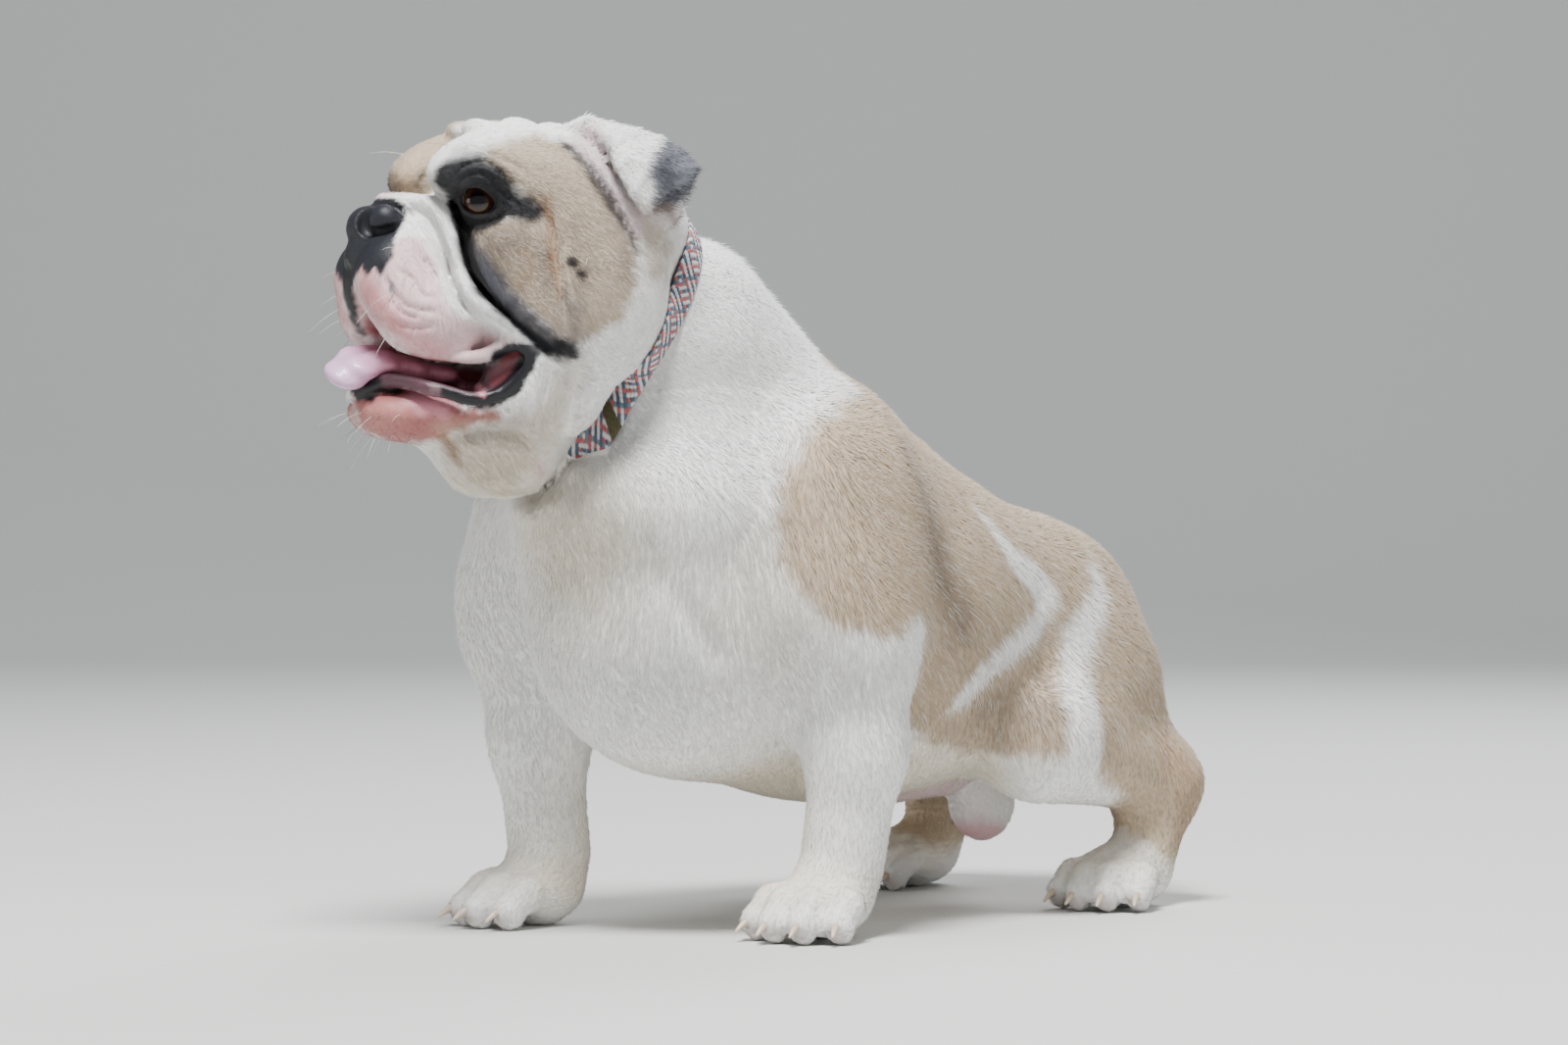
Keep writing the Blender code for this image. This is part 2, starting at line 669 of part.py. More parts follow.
def open_pinches(values, depth):
    """Fill grid faces whose corners alternate, where two sheets would share one edge."""
    for _ in range(8):
        inside = values < 0
        fill = np.zeros(inside.shape, bool)
        for a, b in ((0, 1), (0, 2), (1, 2)):
            corners = []
            for i, j in ((0, 0), (1, 0), (1, 1), (0, 1)):
                part = [slice(None)] * 3
                part[a] = slice(i, inside.shape[a] - 1 + i)
                part[b] = slice(j, inside.shape[b] - 1 + j)
                corners.append(tuple(part))
            s = [inside[c] for c in corners]
            cross = (s[0] == s[2]) & (s[1] == s[3]) & (s[0] != s[1])
            for c in corners:
                fill[c] |= cross
        fill &= ~inside
        if not fill.any():
            break
        values[fill] = -depth
    return values


def cell_points(values, active):
    """Mean of the edge crossings of each active cell, in grid steps."""
    base = np.argwhere(active)
    total = np.zeros((len(base), 3))
    hits = np.zeros(len(base))
    for axis in range(3):
        others = [a for a in range(3) if a != axis]
        for p in (0, 1):
            for q in (0, 1):
                start = np.zeros(3, int)
                start[others[0]] = p
                start[others[1]] = q
                end = start.copy()
                end[axis] = 1
                a = base + start
                va = values[tuple(a.T)]
                vb = values[tuple((base + end).T)]
                cross = (va < 0) != (vb < 0)
                t = np.where(cross, va / np.where(cross, va - vb, 1), 0)
                point = a.astype(float)
                point[:, axis] += t
                total += point * cross[:, None]
                hits += cross
    return total / hits[:, None]


def cell_faces(inside, index):
    """Four-cornered faces between the cells round each crossed grid edge."""
    faces = []
    size = inside.shape
    for axis in range(3):
        o = [a for a in range(3) if a != axis]
        first = [slice(None)] * 3
        second = [slice(None)] * 3
        first[axis] = slice(0, -1)
        second[axis] = slice(1, None)
        change = np.argwhere(inside[tuple(first)] != inside[tuple(second)])
        keep = (change[:, o[0]] > 0) & (change[:, o[1]] > 0)
        keep &= (change[:, o[0]] < size[o[0]] - 1) & (change[:, o[1]] < size[o[1]] - 1)
        change = change[keep]
        corners = []
        for p, q in ((0, 0), (1, 0), (1, 1), (0, 1)):
            cell = change.copy()
            cell[:, o[0]] -= p
            cell[:, o[1]] -= q
            corners.append(index[tuple(cell.T)])
        quad = np.stack(corners, 1)
        start_inside = inside[tuple(change.T)]
        flip = ~start_inside if axis != 1 else start_inside
        quad[flip] = quad[flip][:, ::-1]
        faces.append(quad)
    return np.concatenate(faces)


def slope(shape, points, step=4e-4):
    """Slope of the shape at points."""
    sides = np.eye(3) * step
    return np.stack([shape(points + s) - shape(points - s) for s in sides], -1) / (2 * step)


def settle(shape, points, limit):
    """Move points onto the surface along its slope."""
    for _ in range(2):
        g = slope(shape, points)
        step = shape(points)[:, None] * g / ((g * g).sum(-1)[:, None] + TINY)
        length = np.linalg.norm(step, axis=1, keepdims=True)
        points = points - step * np.minimum(1, limit / (length + TINY))
    return points


def surface(shape, grid, low, high):
    """Closed surface of a shape as points and four-cornered faces."""
    values, start = grid_values(shape, grid, low, high)
    values = open_pinches(values, grid.cell * 0.1)
    inside = values < 0
    cells = np.array(values.shape) - 1
    corners = [(i, j, k) for i in (0, 1) for j in (0, 1) for k in (0, 1)]
    full = sum(
        inside[i:i + cells[0], j:j + cells[1], k:k + cells[2]].astype(np.int8) for i, j, k in corners
    )
    active = (full > 0) & (full < 8)
    index = np.full(cells, -1)
    index[active] = np.arange(active.sum())
    points = grid.place(cell_points(values, active) + start)
    points = settle(shape, points, grid.cell * 0.6)
    return points, cell_faces(inside, index)


LOOKS = {
    "cream_coat": ((0.80, 0.72, 0.60), 0.85),
    "fawn_coat": ((0.55, 0.38, 0.22), 0.85),
    "black_nose": ((0.02, 0.02, 0.025), 0.35),
    "pink_tongue": ((0.72, 0.38, 0.38), 0.40),
    "pink_skin": ((0.68, 0.46, 0.40), 0.60),
    "brown_eye": ((0.06, 0.025, 0.012), 0.08),
    "braid": ((0.45, 0.30, 0.32), 0.75),
}


def look(name):
    """Material for a sub-part, made once."""
    material = bpy.data.materials.get(name)
    if material is None:
        colour, roughness = LOOKS[name]
        material = bpy.data.materials.new(name)
        material.use_nodes = True
        shader = material.node_tree.nodes["Principled BSDF"]
        shader.inputs["Base Color"].default_value = (*colour, 1.0)
        shader.inputs["Roughness"].default_value = roughness
        shader.inputs["Metallic"].default_value = 0.0
        material.diffuse_color = (*colour, 1.0)
    return material


def new_object(name, points, faces):
    """Object from points and faces."""
    mesh = bpy.data.meshes.new(name)
    mesh.from_pydata([tuple(p) for p in points], [], [tuple(f) for f in faces])
    mesh.validate()
    obj = bpy.data.objects.new(name, mesh)
    bpy.context.collection.objects.link(obj)
    return obj


def apply_modifiers(obj):
    """Replace the object's mesh by its evaluated one."""
    graph = bpy.context.evaluated_depsgraph_get()
    mesh = bpy.data.meshes.new_from_object(obj.evaluated_get(graph))
    old = obj.data
    obj.modifiers.clear()
    obj.data = mesh
    bpy.data.meshes.remove(old)


def boolean(obj, cutter, operation, solver="EXACT"):
    """Cut an object by another one, or keep what they share."""
    modifier = obj.modifiers.new("cut", "BOOLEAN")
    modifier.operation = operation
    modifier.solver = solver
    modifier.object = cutter
    apply_modifiers(obj)


def join_all(obj, pieces):
    """One union of an object with a collection of closed pieces, which are then removed."""
    group = bpy.data.collections.new("pieces")
    for piece in pieces:
        group.objects.link(piece)
    modifier = obj.modifiers.new("join", "BOOLEAN")
    modifier.operation = "UNION"
    modifier.solver = "EXACT"
    modifier.operand_type = "COLLECTION"
    modifier.collection = group
    apply_modifiers(obj)
    bpy.data.collections.remove(group)
    for piece in pieces:
        bpy.data.objects.remove(piece)


def copy_of(obj, name):
    """Copy with a mesh of its own."""
    twin = obj.copy()
    twin.data = obj.data.copy()
    twin.name = name
    bpy.context.collection.objects.link(twin)
    return twin


def keep_largest(obj):
    """Keep only the closed surface with the largest volume, as triangles."""
    bm = bmesh.new()
    bm.from_mesh(obj.data)
    bmesh.ops.triangulate(bm, faces=bm.faces[:])
    bm.faces.ensure_lookup_table()
    seen = set()
    groups = []
    for face in bm.faces:
        if face in seen:
            continue
        group = [face]
        seen.add(face)
        for here in group:
            for edge in here.edges:
                for other in edge.link_faces:
                    if other not in seen:
                        seen.add(other)
                        group.append(other)
        groups.append(group)

    def volume(group):
        total = 0.0
        for face in group:
            a, b, c = (v.co for v in face.verts[:3])
            total += a.dot(b.cross(c)) / 6
        return total

    groups.sort(key=volume, reverse=True)
    scraps = [face for group in groups[1:] for face in group]
    bmesh.ops.delete(bm, geom=scraps, context="FACES")
    bm.to_mesh(obj.data)
    bm.free()


def offset_copy(obj, distance):
    """Copy whose points are pushed out along their normals."""
    twin = copy_of(obj, obj.name + "_offset")
    mesh = twin.data
    count = len(mesh.vertices)
    points = np.empty(count * 3)
    normals = np.empty(count * 3)
    mesh.vertices.foreach_get("co", points)
    mesh.vertices.foreach_get("normal", normals)
    mesh.vertices.foreach_set("co", points + normals * distance)
    mesh.update()
    return twin


def simplify(obj, triangles, smooth=0):
    """Smooth a mesh a little and reduce it to about a number of triangles."""
    if smooth:
        soften = obj.modifiers.new("soften", "SMOOTH")
        soften.factor = 0.5
        soften.iterations = smooth
    now = sum(len(p.vertices) - 2 for p in obj.data.polygons)
    fewer = obj.modifiers.new("fewer", "DECIMATE")
    fewer.ratio = min(1.0, triangles / now)
    fewer.use_collapse_triangulate = True
    apply_modifiers(obj)


def dress(obj, material):
    """Give an object its material and smooth shading."""
    obj.data.materials.clear()
    obj.data.materials.append(look(material))
    obj.data.shade_smooth()


def slab(name, middle, axes, half):
    """Box by its middle, three axis rows and three half sizes."""
    corners = [(i, j, k) for i in (-1, 1) for j in (-1, 1) for k in (-1, 1)]
    points = [np.array(middle) + (np.array(c) * half) @ np.array(axes) for c in corners]
    faces = [(0, 1, 3, 2), (4, 6, 7, 5), (0, 4, 5, 1), (2, 3, 7, 6), (0, 2, 6, 4), (1, 5, 7, 3)]
    return new_object(name, points, faces)


def face_outward(obj):
    """Turn the faces of a closed mesh outward."""
    bm = bmesh.new()
    bm.from_mesh(obj.data)
    bmesh.ops.recalc_face_normals(bm, faces=bm.faces)
    bm.to_mesh(obj.data)
    bm.free()


def plane_slab(point, normal, inset):
    """Big box whose near face lies on a plane, on the side the normal points to."""
    n = np.array(normal, float) / np.linalg.norm(normal)
    side = np.cross(n, (1.0, 0.0, 0.0) if abs(n[0]) < 0.9 else (0.0, 1.0, 0.0))
    side /= np.linalg.norm(side)
    rows = np.stack([n, side, np.cross(n, side)])
    half = 0.5
    return slab("cutter", np.array(point) + n * (half + inset), rows, (half, half, half))


def prism(outline, width, inset):
    """Head-frame prism across the head from a (forward, up) outline in millimetres."""
    middle = np.mean(outline, axis=0)
    points = []
    for side in (-1, 1):
        for spot in outline:
            away = np.array(spot) - middle
            pulled = np.array(spot) - away / np.linalg.norm(away) * inset / MM
            points.append(from_head((side * width, *pulled)))
    n = len(outline)
    faces = [tuple(range(n)), tuple(range(2 * n - 1, n - 1, -1))]
    faces += [(i, i + n, (i + 1) % n + n, (i + 1) % n) for i in range(n)]
    obj = new_object("cutter", points, faces)
    face_outward(obj)
    return obj


def split(rest, name, cutter, material):
    """Part a node off the rest; cutter(inset) makes the closed shape that holds the node.

    The exact solver loses the body at the thigh, so these cuts use the manifold one.
    """
    node = copy_of(rest, name)
    inner = cutter(GAP)
    boolean(node, inner, "INTERSECT", "MANIFOLD")
    bpy.data.objects.remove(inner)
    outer = cutter(0.0)
    boolean(rest, outer, "DIFFERENCE", "MANIFOLD")
    bpy.data.objects.remove(outer)
    keep_largest(node)
    dress(node, material)
    return node


def sphere(centre, radius, segments, rings):
    """Ball as a closed mesh."""
    bm = bmesh.new()
    bmesh.ops.create_uvsphere(bm, u_segments=segments, v_segments=rings, radius=radius)
    bmesh.ops.translate(bm, verts=bm.verts, vec=Vector(centre))
    mesh = bpy.data.meshes.new("ball")
    bm.to_mesh(mesh)
    bm.free()
    obj = bpy.data.objects.new("ball", mesh)
    bpy.context.collection.objects.link(obj)
    return obj


def stretched(obj, centre, axes, radii):
    """Turn a unit ball mesh into an egg at a place."""
    rows = np.array(axes) * np.array(radii)[:, None]
    turn = Matrix(rows.T.tolist()).to_4x4()
    obj.data.transform(Matrix.Translation(Vector(centre)) @ turn)
    if turn.determinant() < 0:
        obj.data.flip_normals()
    return obj


def whole_dog():
    """The dog's body as one closed mesh standing on the floor plane."""
    grid = Grid(HEAD_CENTRE, FINE_CELL, CELL_GROWTH)
    points, faces = surface(dog_shape, grid, (-0.24, -0.46, -0.03), (0.22, 0.34, 0.59))
    dog = new_object("dog", points, faces)
    simplify(dog, BODY_TRIANGLES)
    floor = plane_slab((0, 0, 0), (0, 0, -1), 0.0)
    boolean(dog, floor, "DIFFERENCE")
    bpy.data.objects.remove(floor)
    keep_largest(dog)
    return dog


def head_piece(name, shape, low, high, cell, triangles, smooth, side=LEFT):
    """Closed mesh of a shape given in the head's frame, mirrored for the right side.

    The head's left, forward and up rows are left-handed, so an unmirrored piece turns its faces.
    """
    grid = Grid((0, 0, 0), cell, 1e6)
    points, faces = surface(shape, grid, low, high)
    points = np.array(HEAD_CENTRE) + (points * (side, 1, 1)) @ HEAD_AXES
    if side == LEFT:
        faces = faces[:, ::-1]
    obj = new_object(name, points, faces)
    simplify(obj, triangles, smooth)
    return obj


def skin_reach(start, ways):
    """How far the dog's surface lies from a point inside it, along each way.

    Under the dewlap the collar keeps within its own reach, and the throat hangs over it.
    """
    low = np.full(len(ways), 0.03)
    high = np.full(len(ways), 0.16)
    for _ in range(24):
        middle = (low + high) / 2
        inside = dog_shape(start + ways * middle[:, None]) < 0
        low = np.where(inside, middle, low)
        high = np.where(inside, high, middle)
    return np.minimum(low, COLLAR_REACH)


def collar_ring(name, grow_by=0.0):
    """Flat band pressed a little into the neck; grow_by makes the groove that clears it.

    The groove grows more along the reach than across, because the neck is steep in places.
    """
    middle = from_head(COLLAR_MIDDLE)
    normal = np.array(COLLAR_NORMAL) @ HEAD_AXES
    normal = normal / np.linalg.norm(normal)
    across = HEAD_AXES[0] - normal * (HEAD_AXES[0] @ normal)
    across /= np.linalg.norm(across)
    up = np.cross(normal, across)
    turns = 2 * np.pi * np.arange(COLLAR_SIDES) / COLLAR_SIDES
    ways = np.cos(turns)[:, None] * across + np.sin(turns)[:, None] * up
    rows = []
    for level in (-0.5, 0.0, 0.5):
        start = middle + normal * level * COLLAR_WIDTH * MM
        reach = skin_reach(start, ways)
        wider = normal * level * 2 * grow_by
        rows.append([start + wider, sum(np.roll(reach, k) for k in (-1, 0, 1)) / 3])
    rows[1][1] = np.maximum(rows[1][1], (rows[0][1] + rows[2][1]) / 2)
    high = COLLAR_THICKNESS * MM + STEEP * grow_by
    low = -COLLAR_PRESS * MM - STEEP * grow_by
    profile = [(0, low), (0, high), (1, high + COLLAR_CROWN * MM), (2, high), (2, low)]
    points = []
    for level, lift in profile:
        start, reach = rows[level]
        points.append(start + ways * (reach + lift)[:, None])
    count = len(profile)
    faces = []
    for i in range(count):
        for j in range(COLLAR_SIDES):
            near = (j + 1) % COLLAR_SIDES
            this, other = i * COLLAR_SIDES, (i + 1) % count * COLLAR_SIDES
            faces.append((this + j, this + near, other + near))
            faces.append((this + j, other + near, other + j))
    obj = new_object(name, np.concatenate(points), faces)
    face_outward(obj)
    return obj


def claw(start, end):
    """Blunt claw sunk into its toe."""
    way = Vector(end) - Vector(start)
    mesh = bpy.data.meshes.new("claw")
    bm = bmesh.new()
    bmesh.ops.create_cone(bm, cap_ends=True, segments=6, radius1=0.0036, radius2=0.0013, depth=way.length)
    turn = Vector((0, 0, 1)).rotation_difference(way).to_matrix().to_4x4()
    place = Matrix.Translation((Vector(start) + Vector(end)) / 2) @ turn
    bmesh.ops.transform(bm, matrix=place, verts=bm.verts)
    bm.to_mesh(mesh)
    bm.free()
    obj = bpy.data.objects.new("claw", mesh)
    bpy.context.collection.objects.link(obj)
    return obj


JAW_OUTLINE = [(150, -87), (56, -87), (40, -79), (30, -71), (14, -66), (6, -78), (28, -126), (60, -150),
               (150, -150)]
JAW_HALF_WIDTH = 130


def part_head(dog):
    """Cut the lower jaw, the nose pad and the head off the dog."""
    nodes = [split(dog, "lower_jaw", lambda inset: prism(JAW_OUTLINE, JAW_HALF_WIDTH, inset), "pink_skin")]
    nose = egg_cutter(from_head((0, 122, 3)), np.array((29, 22, 21)) * MM, HEAD_AXES)
    nodes.append(split(dog, "nose", nose, "black_nose"))
    way = np.array(COLLAR_NORMAL) @ HEAD_AXES
    middle = from_head(COLLAR_MIDDLE)
    nodes.append(split(dog, "head", lambda inset: plane_slab(middle, way, inset), "fawn_coat"))
    return nodes


def part_neck(dog):
    """Cut the neck off along a plane from the withers to the front of the chest."""
    point, normal = (0, -0.045, 0.375), (0, -0.447, 0.894)
    return [split(dog, "neck", lambda inset: plane_slab(point, normal, inset), "cream_coat")]


def box_cutter(middle, half, turn):
    """Function that makes a turned box, shrunk by an inset."""
    def make(inset):
        return slab("cutter", middle, axes_of(turn).T, np.array(half) - inset)
    return make


def egg_cutter(middle, radii, axes):
    """Function that makes an egg-shaped cutter, shrunk by an inset."""
    def make(inset):
        return stretched(sphere((0, 0, 0), 1.0, 20, 12), middle, axes, np.array(radii) - inset)
    return make


def part_legs(dog):
    """Cut each paw and then each leg off the body."""
    nodes = []
    for name, paw in PAWS.items():
        middle = paw.centre + np.array([0, 0, PAW_CUT_HEIGHT - 0.10])
        node = split(dog, name, box_cutter(middle, (0.062, 0.075, 0.10), (0, 0, 0)), "cream_coat")
        join_all(node, [claw(start, end) for start, end in paw.claws()])
        keep_largest(node)
        dress(node, "cream_coat")
        nodes.append(node)
    turned = np.eye(3)
    for name, side, y in (("foreleg_left", LEFT, -0.124), ("foreleg_right", RIGHT, -0.186)):
        cutter = egg_cutter((side * 0.130, y, 0.095), (0.066, 0.082, 0.128), turned)
        nodes.append(split(dog, name, cutter, "cream_coat"))
    for name, side in (("hindleg_left", LEFT), ("hindleg_right", RIGHT)):
        cutter = egg_cutter((side * 0.128, 0.165, 0.090), (0.080, 0.142, 0.118), turned)
        nodes.append(split(dog, name, cutter, "fawn_coat"))
    return nodes


def part_body(dog):
    """Cut the tail off and part the trunk into chest and rump."""
    tail_box = box_cutter((0, 0.31, 0.21), (0.05, 0.05, 0.05), (25, 0, 0))
    nodes = [split(dog, "tail", tail_box, "cream_coat")]
    nodes.append(split(dog, "rump", lambda inset: plane_slab((0, 0.065, 0.2), (0, 1, 0), inset), "fawn_coat"))
    keep_largest(dog)
    dog.name = "chest"
    dress(dog, "cream_coat")
    nodes.append(dog)
    return nodes


def clear_of(obj, body, distance=GAP):
    """Cut the body, pushed out by the gap, out of an object."""
    shell = offset_copy(body, distance)
    boolean(obj, shell, "DIFFERENCE")
    bpy.data.objects.remove(shell)
    keep_largest(obj)


def eyes(dog):
    """Eyeballs, each in a round socket cut into the head."""
    nodes = []
    for name, side in (("eye_left", LEFT), ("eye_right", RIGHT)):
        centre = from_head(EYE_MIDDLE * (side, 1, 1))
        socket = sphere(centre, EYE_RADIUS * MM + GAP, 16, 9)
        boolean(dog, socket, "DIFFERENCE")
        bpy.data.objects.remove(socket)
        ball = sphere(centre, EYE_RADIUS * MM, 16, 9)
        ball.name = name
        keep_largest(ball)
        dress(ball, "brown_eye")
        nodes.append(ball)
    return nodes


def centre_on_floor():
    """Move all nodes so that the origin is under the middle of the whole dog."""
    points = np.array([v.co for obj in bpy.data.objects for v in obj.data.vertices])
    middle = (points.min(0) + points.max(0)) / 2
    shift = Matrix.Translation((-middle[0], -middle[1], 0))
    for obj in bpy.data.objects:
        obj.data.transform(shift)


def main():
    """Build every node of the dog."""
    for old in list(bpy.data.objects):
        bpy.data.objects.remove(old)
    dog = whole_dog()
    for side, name in ((LEFT, "ear_left"), (RIGHT, "ear_right")):
        ear = head_piece(name, ear_shape, (0.03, -0.09, 0.0), (0.12, 0.035, 0.115), 0.0022, 440, 3, side)
        clear_of(ear, dog)
        dress(ear, "cream_coat")
    tongue = head_piece("tongue", tongue_shape, (-0.04, 0, -0.13), (0.045, 0.165, -0.05), 0.0030, 320, 2)
    clear_of(tongue, dog)
    dress(tongue, "pink_tongue")
    dress(collar_ring("collar"), "braid")
    groove = collar_ring("groove", GAP)
    boolean(dog, groove, "DIFFERENCE", "MANIFOLD")
    bpy.data.objects.remove(groove)
    scrotum = sphere((0, 0, 0), 1.0, 14, 9)
    stretched(scrotum, (0.004, 0.150, 0.074), np.eye(3), (0.024, 0.028, 0.032))
    scrotum.name = "scrotum"
    clear_of(scrotum, dog)
    dress(scrotum, "pink_skin")
    eyes(dog)
    part_head(dog)
    part_neck(dog)
    part_legs(dog)
    part_body(dog)
    centre_on_floor()


if __name__ == "__main__":
    main()
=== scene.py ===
"""Life-size English bulldog, standing with its mouth open and its head turned to its right.

One skin takes the place of every flesh solid.  It is the surface of one smooth shape, worked out
with numpy from egg-shaped lobes and bent limbs, and lies inside the solids by the coat's depth.
Short tufts, all one closed spike each, lie over it.  Eyes, tongue, claws, whiskers and the braided
collar are pieces of their own.  Work is in millimetres in the design frame: the dog faces -Y, its
left side is +X and the floor is Z = 0.  The head has a frame of its own: left, forward, up.
"""
from __future__ import annotations

import logging
import math
from dataclasses import dataclass, field
from enum import Enum
from typing import Callable, Sequence

import bpy
import numpy as np
from mathutils import Matrix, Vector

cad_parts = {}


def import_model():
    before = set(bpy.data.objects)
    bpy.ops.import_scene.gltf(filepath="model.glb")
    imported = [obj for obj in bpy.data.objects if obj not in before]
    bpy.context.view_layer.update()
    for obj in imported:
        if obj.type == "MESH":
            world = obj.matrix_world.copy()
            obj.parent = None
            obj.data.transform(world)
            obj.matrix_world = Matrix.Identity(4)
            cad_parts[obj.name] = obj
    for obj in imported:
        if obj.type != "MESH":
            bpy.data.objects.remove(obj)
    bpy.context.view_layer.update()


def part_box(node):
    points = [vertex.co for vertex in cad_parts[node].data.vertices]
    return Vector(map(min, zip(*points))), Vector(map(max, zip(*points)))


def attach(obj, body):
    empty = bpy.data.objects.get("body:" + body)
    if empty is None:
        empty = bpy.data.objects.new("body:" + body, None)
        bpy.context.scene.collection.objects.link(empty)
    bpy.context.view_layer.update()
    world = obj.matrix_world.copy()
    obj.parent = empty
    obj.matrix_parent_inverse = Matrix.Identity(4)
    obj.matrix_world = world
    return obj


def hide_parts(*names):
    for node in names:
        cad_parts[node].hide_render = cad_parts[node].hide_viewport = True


Array = np.ndarray
Row = Sequence[float]
Rows = Sequence[Row]
Colour = tuple[float, float, float]
NodeTree, Node, Object = bpy.types.NodeTree, bpy.types.Node, bpy.types.Object
Shape = Callable[[Array], Array]

MM = 0.001
TINY = 1e-9
FAR = 1e4  # a shape's value where nothing is near
LOOK_AHEAD = 28.0  # how far outside a lobe its values are still worked out
LEFT, RIGHT = 1, -1
# The slanted side view of the head: distance of its plane from the middle, and what forward and up
# gain for each millimetre outward.
CHEEK_PLANE = 60.0
SIDE_SLOPE = (0.397, -0.108)
UV_MAP = "OFBake"
# Large odd numbers that scatter the corners of the noise's lattice.
SCATTER = (374761393, 668265263, 2147483647)
REMIX = 1274126177
# A way that no whisker or claw runs along.
OFF_AXIS = (0.31, 0.17, 0.93)
log = logging.getLogger("bulldog")


# Plain geometry

def unit(v: Array) -> Array:
    """Rows scaled to length one."""
    return v / (np.linalg.norm(v, axis=-1, keepdims=True) + TINY)


def axes_of(turn: Row) -> Array:
    """Turn matrix for three angles in degrees, about X, then Y, then Z.

    Args:
        turn: the three angles.

    Returns:
        The product of the three plain turns, as three rows.
    """
    (ca, sa), (cb, sb), (cc, sc) = ((math.cos(v), math.sin(v)) for v in np.radians(turn))
    about_x = np.array([[1, 0, 0], [0, ca, -sa], [0, sa, ca]])
    about_y = np.array([[cb, 0, sb], [0, 1, 0], [-sb, 0, cb]])
    about_z = np.array([[cc, -sc, 0], [sc, cc, 0], [0, 0, 1]])
    return about_z @ about_y @ about_x


def smooth_line(points: Array, steps: int) -> Array:
    """Points along a Catmull-Rom curve, the cubic that passes through every given row.

    Args:
        points: rows to pass through, of any width.
        steps: steps between two rows.

    Returns:
        The finer rows.
    """
    p = np.vstack([2 * points[0] - points[1], points, 2 * points[-1] - points[-2]])
    a, b, c, d = p[:-3, None], p[1:-2, None], p[2:-1, None], p[3:, None]
    t = (np.arange(steps) / steps)[None, :, None]
    line = (2 * b + (c - a) * t + (2 * a - 5 * b + 4 * c - d) * t ** 2 + (3 * b - a - 3 * c + d) * t ** 3) / 2
    return np.vstack([line.reshape(-1, points.shape[1]), points[-1]])


def fade(value: Array, low: float, high: float) -> Array:
    """Smooth step from 0 at low to 1 at high."""
    t = np.clip((value - low) / (high - low), 0, 1)
    return t * t * (3 - 2 * t)


def within(points: Array, middle: Array, reach: float) -> Array:
    """Which points lie nearer to a middle than the reach."""
    away = points - middle
    return (away * away).sum(-1) < reach ** 2


def to_stretch(points: Array, start: Array, end: Array) -> tuple[Array, Array]:
    """Nearest place on a straight stretch between two points.

    Args:
        points: places to look from, with as many numbers as the two ends.
        start: one end.
        end: the other end.

    Returns:
        The squared distance, and how far along the stretch, from 0 to 1.
    """
    side = end - start
    away = points - start
    t = np.clip(away @ side / (side @ side), 0, 1)
    away = away - t[:, None] * side
    return (away * away).sum(-1), t


def lattice_noise(points: Array, scale: float, seed: int = 0) -> Array:
    """Value noise: hashed numbers on a lattice of the given size, blended smoothly between.

    Args:
        points: places in millimetres.
        scale: lattice step in millimetres.
        seed: picks another noise.

    Returns:
        Numbers from -1 to 1.
    """
    q = points / scale + seed * 17.31
    cell = np.floor(q).astype(np.int64)
    t = q - cell
    t = t * t * (3 - 2 * t)
    total = np.zeros(len(points))
    for i in (0, 1):
        for j in (0, 1):
            for k in (0, 1):
                n = (cell + (i, j, k)) @ np.array(SCATTER)
                n = (n ^ (n >> 13)) * REMIX & 0x7FFFFFFF
                n = (n ^ (n >> 16)) % 65536 / 32767.5 - 1
                wx = t[:, 0] if i else 1 - t[:, 0]
                wy = t[:, 1] if j else 1 - t[:, 1]
                wz = t[:, 2] if k else 1 - t[:, 2]
                total += n * wx * wy * wz
    return total


# Lobes and folds

@dataclass
class Egg:
    """Egg-shaped lobe: centre, three radii, softness of its join and its turn."""

    centre: Row
    radii: Row
    blend: float = 1.0
    turn: Row = (0, 0, 0)

    def __post_init__(self) -> None:
        """Keep the numbers as arrays."""
        self.middle = np.array(self.centre, float)
        self.scale = np.array(self.radii, float)
        self.axes = axes_of(self.turn)
        self.reach = float(max(self.radii))

    def distance(self, points: Array) -> Array:
        """Nearly the distance to the egg, negative inside: k (k - 1) over the slope of k.

        Args:
            points: places in millimetres.

        Returns:
            The distance of each.
        """
        q = (points - self.middle) @ self.axes / self.scale
        k0 = np.sqrt((q * q).sum(-1)) + TINY
        q = q / self.scale
        return k0 * (k0 - 1) / (np.sqrt((q * q).sum(-1)) + TINY)


@dataclass
class Rope:
    """Bent limb through several points with a radius at each."""

    points: Rows
    radii: Row
    blend: float = 1.0

    def __post_init__(self) -> None:
        """Lay a smooth curve through the points."""
        rows = np.column_stack([np.array(self.points, float), np.array(self.radii, float)])
        line = smooth_line(rows, 4) if len(rows) > 2 else rows
        self.line = line[:, :3]
        self.width = line[:, 3]
        self.middle = self.line.mean(0)
        self.reach = float(np.linalg.norm(self.line - self.middle, axis=1).max() + self.width.max())

    def near(self, points: Array) -> tuple[Array, Array]:
        """Nearest stretch of the curve.

        Args:
            points: places to look from.

        Returns:
            The distance to the limb's surface, and how far along the curve, from 0 to 1.
        """
        best = np.full(len(points), FAR)
        place = np.zeros(len(points))
        count = len(self.line) - 1
        for i in range(count):
            square, t = to_stretch(points, self.line[i], self.line[i + 1])
            gap = np.sqrt(square) - self.width[i] - (self.width[i + 1] - self.width[i]) * t
            place = np.where(gap < best, (i + t) / count, place)
            best = np.minimum(best, gap)
        return best, place

    def distance(self, points: Array) -> Array:
        """Distance to the limb, negative inside."""
        return self.near(points)[0]


